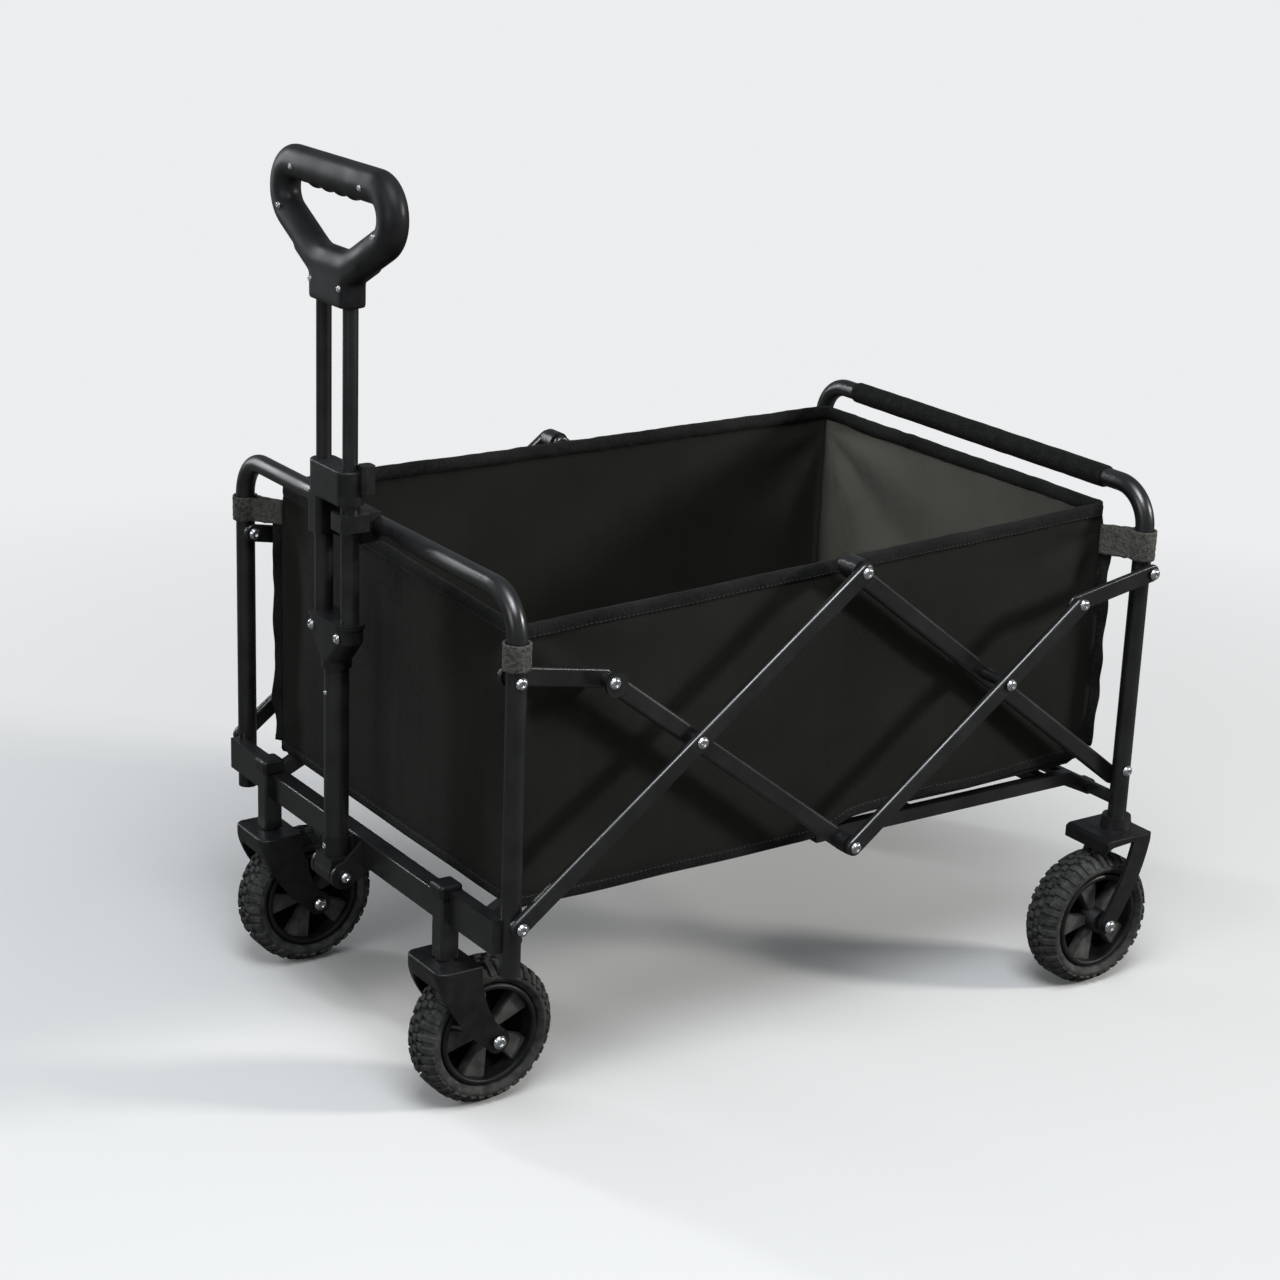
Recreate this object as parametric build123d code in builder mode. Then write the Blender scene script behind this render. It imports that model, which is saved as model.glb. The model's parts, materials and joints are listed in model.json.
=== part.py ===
from build123d import *
import os
from math import atan2, cos, degrees, dist, hypot, sin

os.makedirs("parts", exist_ok=True)

# A folding wagon: two bent-tube hoops, a scissor linkage on each side, a fabric bag
# hung between the hoops, a floor in two halves, two castors in front, two fixed
# wheels behind and a telescopic pull handle. Millimetres, +X to the handle end,
# +Y to the left, +Z up. The origin lies on the ground, midway between the posts.

# ---------------------------------------------------------------------------
# Hoops
post_spacing = 772.0        # front post axis to rear post axis, opened out
post_track = 556.0          # left post axis to right post axis
tube_d = 20.0               # frame tube, outside
bend_radius = 42.0          # centreline radius of the hoop bends
foot_rise = 21.0            # lower end of the posts above the crowns' underside
front_post_h = 372.0        # post foot to the axis of the front top rail
rear_post_h = 378.0         # post foot to the axis of the rear top rail

# Side linkage, drawn in the XZ plane
low_pin_h = 54.0            # pins of the long bars, above the post foot
scissor_h = 292.0           # those pins up to the pin that joins the long bars
upper_len = 236.0           # side of the linkage's rhombus
tail_len = 115.0            # cross bar beyond its middle pin
link_pin_drop = 38.0        # pins of the short links, below the front hoop's bends
bar_w = 19.0
bar_t = 9.0
bar_edge = 3.6              # rounding that makes the bars flat ovals
link_t = 6.0
link_standoff = 3.6         # boss that holds the front link off its post
rear_link_standoff = 2.8    # boss that holds the rear link off its post
pin_d = 8.0
pin_play = 0.05             # radial play of a bar on its pin
side_play = 0.4             # side gap between a bar and what it runs beside
head_d = 13.0
head_t = 2.0
spacer_d = 12.0
top_disc_d = 24.0           # round spacer between the long bars
bottom_spacer_d = 20.0      # round spacer between the cross bars

# Floor
floor_pin_inset = 6.0       # pivot tube axis, inward from the post axis
floor_pin_drop = 21.0       # pivot tube axis below the long bars' pins
pivot_tube_d = 14.0
floor_eye_r = 9.0
floor_bar_w = 12.0          # across the wagon
floor_bar_h = 14.0
floor_top_rise = 22.0       # top of the floor bars above the pivot tube axis
floor_row_y = 220.0         # middle of the front half's side bars
floor_row_gap = 0.5         # between the side bars of the two halves
floor_bar_start = 30.0      # where the side bars begin, from the pivot
floor_near_tie = 62.0       # cross ties, from the pivot
floor_far_tie = 250.0
floor_mid_gap = 3.0         # from each half's tip to the middle of the wagon

# Bag
bag_end_gap = 24.0          # bag's ends to the post axes
bag_side_gap = 36.0         # bag's sides to the post axes
bag_top_drop = 18.0         # bag's rim below the front rail axis
bag_lift = 0.7              # bag floor above the floor frame
bag_floor_t = 7.0
bag_wall = 3.0
bag_corner_r = 14.0
hem_h = 15.0
hem_t = 1.3
strap_t = 2.4
strap_overlap = 6.0
sleeve_play = 0.3
sleeve_t = 2.2
sleeve_drop = 1.0           # top of the strap sleeves below the bends
front_sleeve_h = 25.5
rear_sleeve_h = 31.5
foam_len = 430.0
foam_t = 2.5
foam_play = 0.1

# Wheels
wheel_d = 150.0
tyre_w = 48.0
tyre_shoulder = 9.0
rim_d = 108.0
rim_play = 0.1
rim_t = 6.0
rim_w = 41.0
rim_lip = 2.5
hub_d = 26.0
hub_len = 50.0
spoke_count = 5
spoke_root_w = 9.0
spoke_tip_w = 29.0
spoke_t = 13.0
web_t = 4.0                 # disc behind the blade spokes
axle_d = 8.0
axle_head_d = 14.0
axle_head_t = 4.0
front_trail = 41.0          # wheel axle behind the castor's swivel axis
rear_trail = -32.0          # wheel axle ahead of the rear post
fork_leg_t = 5.0
fork_leg_gap = 29.5         # wheel centre plane to the inside of a leg
fork_end_r = 13.0
rear_fork_end_r = 11.0
crown_t = 6.0
crown_gap = 3.0             # underside of the fork crowns above the tyres
crown_front = 26.0          # castor crown ahead of its swivel axis
crown_back = 22.0           # both crowns behind their swivel or post axis
rear_crown_front = 28.0
crown_corner_r = 11.0
blade_bulge_x = 41.0        # the blade's front edge passes the axle this far ahead
blade_bulge_z = 24.0        # and this far above it
blade_hollow_x = 14.0       # the same for its hollow back edge
blade_hollow_z = 46.0
collar_d = 28.0             # rear fork's collar round its post
collar_h = 13.0
leg_top_w = 26.0
leg_root = 6.0

# Front cross member and castor sockets
socket_ahead = 18.0         # swivel axis ahead of the front post axis
socket_y = 188.0
socket_w = 20.0             # square socket tube
socket_corner_r = 2.5
socket_gap = 2.0            # crown to socket, taken up by a washer
socket_top_rise = 3.0       # socket top above the cross tube
stem_d = 12.0
washer_d = 19.0
cap_w = 25.0
cap_h = 13.0
cross_ahead = 12.0          # cross tube axis ahead of the front post axis
cross_depth = 16.0
cross_foot_rise = 20.0      # cross tube's underside above the post foot
cross_h = 29.0
arm_back = 6.0              # rear face of the arms ahead of the post axis
arm_front = 20.0
arm_rise = 4.0              # arms' underside above the cross tube's
arm_h = 34.0

# Handle
handle_ahead = 37.0         # handle axis ahead of the front post axis
hinge_ahead = 40.0          # hinge pin ahead of the front post axis
hinge_drop = 8.0            # hinge pin below the cross tube's underside
foot_r = 14.0
foot_w = 34.0
foot_collar_d = 28.0
foot_collar_h = 20.0
lug_t = 4.0
lug_reach = 14.0
handle_tube_d = 25.0
handle_tube_lift = 17.0     # foot of the lower tube above the hinge pin
seat_play = 0.1             # radial play of a tube glued in its socket
socket_depth = 20.0
lower_tube_len = 199.0      # lower tube between its foot and the lower joint
joint_h = 52.0
joint_d = 28.0
joint_waist_h = 9.0         # round part of the joint below its taper
joint_taper_h = 24.0
joint_lip = 1.5
pair_half = 27.0            # handle axis to each of the twin tubes
outer_tube_d = 18.5
inner_tube_d = 15.0
slide_play = 0.05
clamp_below = 22.0          # clamp below and above the front rail's axis
clamp_above = 62.0
clamp_roof = 4.0
clamp_d = 28.0
clamp_side = 12.0           # clamp collar beyond each tube axis
clamp_collar_h = 34.0
column_h = 40.0             # sleeve below the collar on the right tube
column_side = 4.0           # sleeve and jaw round each tube, all the way round
jaw_rise = 3.0              # jaw on the left tube, above the rail's axis
jaw_h = 17.0
web_d = 6.0                 # web behind the tubes, from the collar to the cradle
cradle_h = 30.0
cradle_w = 44.0
cradle_play = 0.5
latch_l = 15.0
latch_h = 22.0
inner_overlap = 24.0        # inner tubes left inside the outer ones, drawn out
inner_reach = 161.0         # outer tubes' top to the grip's neck, drawn out
neck_fillet_r = 20.0        # hollow between the neck and the ring's slanted sides
neck_flare = 30.0
neck_side = 11.0            # neck beyond each tube axis
neck_d = 28.0
neck_round = 9.0            # rounding of the neck's long edges
grip_w = 34.0               # grip section across the ring
grip_d = 29.0               # grip section through the ring
grip_half = 107.0           # handle axis to the grip's side centreline
grip_base_rise = 37.0       # neck foot up to the grip's lower centreline
grip_slant_rise = 41.0      # from there up to the side corners
grip_top_rise = 43.0        # from there up to the top bar's centreline
grip_bottom_half = 30.0
grip_base_r = 60.0
ridge_r = 12.0
ridge_pitch = 25.0
ridge_drop = 2.5

# ---------------------------------------------------------------------------
# Places that follow from the sizes, from the ground up
front_x = post_spacing / 2
rear_x = -front_x
post_y = post_track / 2
crown_z = wheel_d + crown_gap
post_foot_z = crown_z + foot_rise
front_rail_z = post_foot_z + front_post_h
rear_rail_z = post_foot_z + rear_post_h
low_pin_z = post_foot_z + low_pin_h
top_pin_z = low_pin_z + scissor_h
link_pin_z = front_rail_z - bend_radius - link_pin_drop
floor_pin_z = low_pin_z - floor_pin_drop
floor_top_z = floor_pin_z + floor_top_rise
bag_len = post_spacing - 2 * bag_end_gap
bag_w = post_track - 2 * bag_side_gap
bag_top_z = front_rail_z - bag_top_drop
front_sleeve_z = front_rail_z - bend_radius - sleeve_drop - front_sleeve_h
rear_sleeve_z = rear_rail_z - bend_radius - sleeve_drop - rear_sleeve_h
cross_low_z = post_foot_z + cross_foot_rise
arm_low_z = cross_low_z + arm_rise
socket_top_z = cross_low_z + cross_h + socket_top_rise
hinge_z = cross_low_z - hinge_drop
handle_tube_foot_z = hinge_z + handle_tube_lift
joint_low_z = handle_tube_foot_z + lower_tube_len
clamp_low_z = front_rail_z - clamp_below
clamp_top_z = front_rail_z + clamp_above
outer_top_z = clamp_top_z - clamp_roof
inner_foot_z = outer_top_z - inner_overlap
grip_low_z = outer_top_z + inner_reach
slope = atan2(scissor_h, front_x)
cross_x = upper_len * cos(slope)
cross_z = top_pin_z - upper_len * sin(slope)
bottom_pin_z = top_pin_z - 2 * upper_len * sin(slope)
tail_x = (upper_len + tail_len) * cos(slope)
tail_z = bottom_pin_z + (upper_len + tail_len) * sin(slope)

# Layers of the linkage, outward from the post axis on the left side
post_face = tube_d / 2 + side_play
long_front_in = post_y + post_face
long_front_out = long_front_in + bar_t
long_rear_out = post_y - post_face
long_rear_in = long_rear_out - bar_t
cross_front_in = post_y - bar_t / 2
cross_front_out = post_y + bar_t / 2
link_rear_in = post_y + post_face + rear_link_standoff
link_rear_out = link_rear_in + link_t
cross_rear_in = link_rear_out + side_play
cross_rear_out = cross_rear_in + bar_t
link_front_out = post_y - post_face - link_standoff
link_front_in = link_front_out - link_t
bore_d = pin_d + 2 * pin_play


def y_rod(x, z, y_low, y_high, diameter, mode=Mode.ADD):
    """A round rod or hole along Y in the piece being built."""
    with Locations((x, (y_low + y_high) / 2, z)):
        Cylinder(diameter / 2, y_high - y_low, rotation=(90, 0, 0), mode=mode)


def z_rod(x, y, z_low, z_high, diameter, mode=Mode.ADD):
    """A round rod or hole along Z in the piece being built."""
    with Locations((x, y, (z_low + z_high) / 2)):
        Cylinder(diameter / 2, z_high - z_low, mode=mode)


def block(x_low, x_high, y_low, y_high, z_low, z_high, mode=Mode.ADD):
    """A plain block between two corners in the piece being built."""
    with Locations(((x_low + x_high) / 2, (y_low + y_high) / 2, (z_low + z_high) / 2)):
        Box(x_high - x_low, y_high - y_low, z_high - z_low, mode=mode)


def upright(x, y, z_low, z_high, size_x, size_y, corner, mode=Mode.ADD):
    """An upright bar of rounded oblong section in the piece being built."""
    with BuildSketch(Plane.XY.offset(z_low)) as section:
        with Locations((x, y)):
            RectangleRounded(size_x, size_y, corner)
    extrude(section.sketch, amount=z_high - z_low, mode=mode)


def flat_bar(start, end, thickness, y_out):
    """A flat oval bar between two pin places in XZ, its outer face at y_out."""
    with BuildPart() as bar:
        with BuildSketch(Plane.XZ.offset(-y_out)):
            with Locations(((start[0] + end[0]) / 2, (start[1] + end[1]) / 2)):
                angle = degrees(atan2(end[1] - start[1], end[0] - start[0]))
                SlotCenterToCenter(dist(start, end), bar_w, rotation=angle)
        extrude(amount=thickness)
        fillet(bar.faces().filter_by(Axis.Y).edges(), min(bar_edge, 0.4 * thickness))
    return bar.part


# ---------------------------------------------------------------------------
# Front hoop. Its pins carry the long bars outside and the short links inside.
with BuildPart() as front_hoop:
    with BuildLine(Plane.YZ.offset(front_x)) as front_path:
        FilletPolyline(
            (-post_y, post_foot_z),
            (-post_y, front_rail_z),
            (post_y, front_rail_z),
            (post_y, post_foot_z),
            radius=bend_radius,
        )
    with BuildSketch(Plane((front_x, -post_y, post_foot_z))):
        Circle(tube_d / 2)
    sweep(path=front_path.wires()[0])
    y_rod(front_x, low_pin_z, post_y, long_front_out + side_play + head_t, pin_d)
    y_rod(front_x, low_pin_z, long_front_out + side_play, long_front_out + side_play + head_t, head_d)
    y_rod(front_x, link_pin_z, link_front_in - side_play - head_t, post_y, pin_d)
    y_rod(front_x, link_pin_z, link_front_out + side_play, post_y, spacer_d)
    y_rod(front_x, link_pin_z, link_front_in - side_play - head_t, link_front_in - side_play, head_d)
    y_rod(front_x, low_pin_z, -long_front_out - side_play - head_t, -post_y, pin_d)
    y_rod(front_x, low_pin_z, -long_front_out - side_play - head_t, -long_front_out - side_play, head_d)
    y_rod(front_x, link_pin_z, -post_y, -link_front_in + side_play + head_t, pin_d)
    y_rod(front_x, link_pin_z, -post_y, -link_front_out - side_play, spacer_d)
    y_rod(front_x, link_pin_z, -link_front_in + side_play, -link_front_in + side_play + head_t, head_d)
front_hoop.part.label = "front_hoop"

# Rear hoop. The long rear bars run inside its posts, the short links outside.
with BuildPart() as rear_hoop:
    with BuildLine(Plane.YZ.offset(rear_x)) as rear_path:
        FilletPolyline(
            (-post_y, post_foot_z),
            (-post_y, rear_rail_z),
            (post_y, rear_rail_z),
            (post_y, post_foot_z),
            radius=bend_radius,
        )
    with BuildSketch(Plane((rear_x, -post_y, post_foot_z))):
        Circle(tube_d / 2)
    sweep(path=rear_path.wires()[0])
    y_rod(rear_x, low_pin_z, long_rear_in - side_play - head_t, post_y, pin_d)
    y_rod(rear_x, low_pin_z, long_rear_in - side_play - head_t, long_rear_in - side_play, head_d)
    y_rod(rear_x, link_pin_z, post_y, link_rear_out + side_play + head_t, pin_d)
    y_rod(rear_x, link_pin_z, post_y, link_rear_in - side_play, spacer_d)
    y_rod(rear_x, link_pin_z, link_rear_out + side_play, link_rear_out + side_play + head_t, head_d)
    y_rod(rear_x, low_pin_z, -post_y, -long_rear_in + side_play + head_t, pin_d)
    y_rod(rear_x, low_pin_z, -long_rear_in + side_play, -long_rear_in + side_play + head_t, head_d)
    y_rod(rear_x, link_pin_z, -link_rear_out - side_play - head_t, -post_y, pin_d)
    y_rod(rear_x, link_pin_z, -link_rear_in + side_play, -post_y, spacer_d)
    y_rod(rear_x, link_pin_z, -link_rear_out - side_play - head_t, -link_rear_out - side_play, head_d)
rear_hoop.part.label = "rear_hoop"

# ---------------------------------------------------------------------------
# Long front bar: carries the middle pin of the front cross bar and the top pin.
with BuildPart() as long_front_left:
    add(flat_bar((front_x, low_pin_z), (0, top_pin_z), bar_t, long_front_out))
    y_rod(front_x, low_pin_z, long_front_in - 1, long_front_out + 1, bore_d, Mode.SUBTRACT)
    y_rod(cross_x, cross_z, cross_front_out + side_play, long_front_in, spacer_d)
    y_rod(cross_x, cross_z, cross_front_in - side_play - head_t, long_front_in, pin_d)
    y_rod(cross_x, cross_z, cross_front_in - side_play - head_t, cross_front_in - side_play, head_d)
    y_rod(0, top_pin_z, long_rear_out + side_play, long_front_in, top_disc_d)
    y_rod(0, top_pin_z, long_rear_in - side_play - head_t, long_front_in, pin_d)
    y_rod(0, top_pin_z, long_rear_in - side_play - head_t, long_rear_in - side_play, head_d)
long_front_left.part.label = "long_front_left"

with BuildPart() as long_front_right:
    mirror(long_front_left.part, about=Plane.XZ)
long_front_right.part.label = "long_front_right"

# Long rear bar: carries the middle pin of the rear cross bar.
with BuildPart() as long_rear_left:
    add(flat_bar((rear_x, low_pin_z), (0, top_pin_z), bar_t, long_rear_out))
    y_rod(rear_x, low_pin_z, long_rear_in - 1, long_rear_out + 1, bore_d, Mode.SUBTRACT)
    y_rod(0, top_pin_z, long_rear_in - 1, long_rear_out + 1, bore_d, Mode.SUBTRACT)
    y_rod(-cross_x, cross_z, long_rear_out, cross_rear_in - side_play, spacer_d)
    y_rod(-cross_x, cross_z, long_rear_out, cross_rear_out + side_play + head_t, pin_d)
    y_rod(-cross_x, cross_z, cross_rear_out + side_play, cross_rear_out + side_play + head_t, head_d)
long_rear_left.part.label = "long_rear_left"

with BuildPart() as long_rear_right:
    mirror(long_rear_left.part, about=Plane.XZ)
long_rear_right.part.label = "long_rear_right"

# Front cross bar, from the bottom pin up to the front link.
with BuildPart() as cross_front_left:
    add(flat_bar((0, bottom_pin_z), (tail_x, tail_z), bar_t, cross_front_out))
    y_rod(cross_x, cross_z, cross_front_in - 1, cross_front_out + 1, bore_d, Mode.SUBTRACT)
    y_rod(0, bottom_pin_z, cross_front_in - 1, cross_front_out + 1, bore_d, Mode.SUBTRACT)
    y_rod(tail_x, tail_z, cross_front_out, cross_front_out + side_play + head_t, top_disc_d)
cross_front_left.part.label = "cross_front_left"

with BuildPart() as cross_front_right:
    mirror(cross_front_left.part, about=Plane.XZ)
cross_front_right.part.label = "cross_front_right"

# Rear cross bar, outermost of all: carries the bottom pin with its round spacer.
with BuildPart() as cross_rear_left:
    add(flat_bar((0, bottom_pin_z), (-tail_x, tail_z), bar_t, cross_rear_out))
    y_rod(-cross_x, cross_z, cross_rear_in - 1, cross_rear_out + 1, bore_d, Mode.SUBTRACT)
    y_rod(0, bottom_pin_z, cross_front_out + side_play, cross_rear_in, bottom_spacer_d)
    y_rod(0, bottom_pin_z, cross_front_in - side_play - head_t, cross_rear_in, pin_d)
    y_rod(0, bottom_pin_z, cross_front_in - side_play - head_t, cross_front_in - side_play, head_d)
cross_rear_left.part.label = "cross_rear_left"

with BuildPart() as cross_rear_right:
    mirror(cross_rear_left.part, about=Plane.XZ)
cross_rear_right.part.label = "cross_rear_right"

# Short links from the posts to the tails of the cross bars. A boss on the front
# link reaches out to the cross bar's face.
with BuildPart() as link_front_left:
    add(flat_bar((front_x, link_pin_z), (tail_x, tail_z), link_t, link_front_out))
    y_rod(front_x, link_pin_z, link_front_in - 1, link_front_out + 1, bore_d, Mode.SUBTRACT)
    y_rod(tail_x, tail_z, link_front_out, cross_front_in - side_play, spacer_d)
link_front_left.part.label = "link_front_left"

with BuildPart() as link_front_right:
    mirror(link_front_left.part, about=Plane.XZ)
link_front_right.part.label = "link_front_right"

with BuildPart() as link_rear_left:
    add(flat_bar((rear_x, link_pin_z), (-tail_x, tail_z), link_t, link_rear_out))
    y_rod(rear_x, link_pin_z, link_rear_in - 1, link_rear_out + 1, bore_d, Mode.SUBTRACT)
link_rear_left.part.label = "link_rear_left"

with BuildPart() as link_rear_right:
    mirror(link_rear_left.part, about=Plane.XZ)
link_rear_right.part.label = "link_rear_right"

# ---------------------------------------------------------------------------
# Pivot tubes of the floor, seated on the inner sides of the posts.
front_pin_x = front_x - floor_pin_inset
rear_pin_x = rear_x + floor_pin_inset

with BuildPart() as front_pivot_tube:
    y_rod(front_pin_x, floor_pin_z, -post_y, post_y, pivot_tube_d)
    z_rod(front_x, post_y, post_foot_z, front_rail_z, tube_d, Mode.SUBTRACT)
    z_rod(front_x, -post_y, post_foot_z, front_rail_z, tube_d, Mode.SUBTRACT)
front_pivot_tube.part.label = "front_pivot_tube"

with BuildPart() as rear_pivot_tube:
    y_rod(rear_pin_x, floor_pin_z, -post_y, post_y, pivot_tube_d)
    z_rod(rear_x, post_y, post_foot_z, rear_rail_z, tube_d, Mode.SUBTRACT)
    z_rod(rear_x, -post_y, post_foot_z, rear_rail_z, tube_d, Mode.SUBTRACT)
rear_pivot_tube.part.label = "rear_pivot_tube"

# Floor halves. Each is two side bars with cranked eyes and two cross ties. The
# front half's side bars run inside the rear half's.
floor_low_z = floor_top_z - floor_bar_h
rear_row_y = floor_row_y + floor_bar_w + floor_row_gap


def floor_half(pin_x, sign, row_y):
    """One half of the floor; sign is the way from the pivot to the middle."""
    tip_x = -sign * floor_mid_gap
    start_x = pin_x + sign * floor_bar_start
    with BuildPart() as half:
        with BuildSketch(Plane.XZ.offset(-(row_y + floor_bar_w / 2))):
            with BuildLine():
                Polyline(
                    (start_x, floor_top_z),
                    (tip_x, floor_top_z),
                    (tip_x, floor_low_z),
                    (start_x + sign * 8, floor_low_z),
                    (pin_x + sign * floor_eye_r * 0.35, floor_pin_z - floor_eye_r * 0.93),
                    (pin_x + sign * floor_eye_r * 0.35, floor_pin_z + floor_eye_r * 0.93),
                    close=True,
                )
            make_face()
            with Locations((pin_x, floor_pin_z)):
                Circle(floor_eye_r)
        extrude(amount=floor_bar_w)
        y_rod(pin_x, floor_pin_z, row_y - floor_bar_w, row_y + floor_bar_w,
              pivot_tube_d + 2 * pin_play, Mode.SUBTRACT)
        mirror(half.part, about=Plane.XZ)
        for tie in (floor_near_tie, floor_far_tie):
            tie_x = pin_x + sign * tie
            block(tie_x - floor_bar_w / 2, tie_x + floor_bar_w / 2, -row_y, row_y,
                  floor_low_z + 1, floor_top_z - 1)
    return half.part


with BuildPart() as floor_front:
    add(floor_half(front_pin_x, -1, floor_row_y))
floor_front.part.label = "floor_front"

with BuildPart() as floor_rear:
    add(floor_half(rear_pin_x, 1, rear_row_y))
floor_rear.part.label = "floor_rear"

# ---------------------------------------------------------------------------
# Front cross member: a rectangular tube, a castor socket at each end and an arm
# from each socket to its post.
socket_x = front_x + socket_ahead
socket_low_z = crown_z + crown_t + socket_gap

with BuildPart() as front_cross:
    block(front_x + cross_ahead - cross_depth / 2, front_x + cross_ahead + cross_depth / 2,
          -socket_y, socket_y, cross_low_z, cross_low_z + cross_h)
    fillet(front_cross.edges().filter_by(Axis.Y), 2.0)
    for side in (1, -1):
        upright(socket_x, side * socket_y, socket_low_z, socket_top_z, socket_w, socket_w, socket_corner_r)
        y_in, y_out = sorted((side * socket_y, side * post_y))
        block(front_x + arm_back, front_x + arm_front, y_in, y_out, arm_low_z, arm_low_z + arm_h)
        z_rod(front_x, side * post_y, post_foot_z, front_rail_z, tube_d, Mode.SUBTRACT)
        z_rod(socket_x, side * socket_y, socket_low_z - 1, socket_top_z + arm_h,
              stem_d + 2 * pin_play, Mode.SUBTRACT)
        upright(socket_x, side * socket_y, socket_top_z, socket_top_z + arm_h, cap_w, cap_w,
                socket_corner_r + 2, Mode.SUBTRACT)
front_cross.part.label = "front_cross"

with BuildPart() as socket_cap_left:
    upright(socket_x, socket_y, socket_top_z, socket_top_z + cap_h, cap_w, cap_w, socket_corner_r + 2)
    fillet(socket_cap_left.faces().sort_by(Axis.Z)[-1].edges(), min(4.0, 0.4 * cap_h))
socket_cap_left.part.label = "socket_cap_left"

with BuildPart() as socket_cap_right:
    mirror(socket_cap_left.part, about=Plane.XZ)
socket_cap_right.part.label = "socket_cap_right"

# ---------------------------------------------------------------------------
# Wheels: a revolved tyre on a rim with five blade spokes.
wheel_r = wheel_d / 2
rim_r = rim_d / 2


def make_tyre():
    """A tyre about the Y axis, centred on the origin, plain out to the lug tips."""
    with BuildPart() as tyre:
        with BuildSketch(Plane.XY):
            with Locations(((wheel_r + rim_r + rim_play) / 2, 0)):
                section = Rectangle(wheel_r - rim_r - rim_play, tyre_w)
            fillet(section.vertices().group_by(Axis.X)[-1], tyre_shoulder)
            fillet(section.vertices().group_by(Axis.X)[0], 2.0)
        revolve(axis=Axis.Y)
    return tyre.part


def make_hub():
    """A hub about the Y axis: rim with lips, barrel, web and blade spokes."""
    with BuildPart() as hub:
        with BuildSketch(Plane.XY):
            with BuildLine():
                Polyline(
                    (rim_r - rim_t, -rim_w / 2 + rim_lip),
                    (rim_r - rim_lip, -rim_w / 2),
                    (rim_r, -rim_w / 2),
                    (rim_r, rim_w / 2),
                    (rim_r - rim_lip, rim_w / 2),
                    (rim_r - rim_t, rim_w / 2 - rim_lip),
                    close=True,
                )
            make_face()
            with Locations((hub_d / 4, 0)):
                Rectangle(hub_d / 2, hub_len)
            with Locations(((rim_r - rim_t) / 2, 0)):
                Rectangle(rim_r - rim_t + 2, web_t)
        revolve(axis=Axis.Y)
        with BuildSketch(Plane.XZ.offset(-spoke_t / 2)):
            with PolarLocations(0, spoke_count):
                Polygon(
                    (hub_d / 2 - 2, -spoke_root_w / 2),
                    (rim_r - rim_t + 1, -spoke_tip_w / 2),
                    (rim_r - rim_t + 1, spoke_tip_w / 2),
                    (hub_d / 2 - 2, spoke_root_w / 2),
                    align=None,
                )
        extrude(amount=spoke_t)
        y_rod(0, 0, -hub_len, hub_len, axle_d + 2 * pin_play, Mode.SUBTRACT)
    return hub.part


tyre_shape = make_tyre()
hub_shape = make_hub()
front_axle_x = socket_x - front_trail
rear_axle_x = rear_x - rear_trail

with BuildPart() as tyre_front_left:
    with Locations((front_axle_x, socket_y, wheel_r)):
        add(tyre_shape)
tyre_front_left.part.label = "tyre_front_left"

with BuildPart() as tyre_front_right:
    with Locations((front_axle_x, -socket_y, wheel_r)):
        add(tyre_shape)
tyre_front_right.part.label = "tyre_front_right"

with BuildPart() as tyre_rear_left:
    with Locations((rear_axle_x, post_y, wheel_r)):
        add(tyre_shape)
tyre_rear_left.part.label = "tyre_rear_left"

with BuildPart() as tyre_rear_right:
    with Locations((rear_axle_x, -post_y, wheel_r)):
        add(tyre_shape)
tyre_rear_right.part.label = "tyre_rear_right"

with BuildPart() as hub_front_left:
    with Locations((front_axle_x, socket_y, wheel_r)):
        add(hub_shape)
hub_front_left.part.label = "hub_front_left"

with BuildPart() as hub_front_right:
    with Locations((front_axle_x, -socket_y, wheel_r)):
        add(hub_shape)
hub_front_right.part.label = "hub_front_right"

with BuildPart() as hub_rear_left:
    with Locations((rear_axle_x, post_y, wheel_r)):
        add(hub_shape)
hub_rear_left.part.label = "hub_rear_left"

with BuildPart() as hub_rear_right:
    with Locations((rear_axle_x, -post_y, wheel_r)):
        add(hub_shape)
hub_rear_right.part.label = "hub_rear_right"

# ---------------------------------------------------------------------------
# Castor fork: a pressed channel, crown and sides in one, cut to a tusk-shaped side
# outline, with the stem on top and the axle below.
leg_out = fork_leg_gap + fork_leg_t
crown_top_z = crown_z + crown_t
crown_front_x = socket_x + crown_front
crown_back_x = socket_x - crown_back
fork_low_z = wheel_r - fork_end_r
channel_back_x = front_axle_x - 3 * fork_end_r

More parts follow.
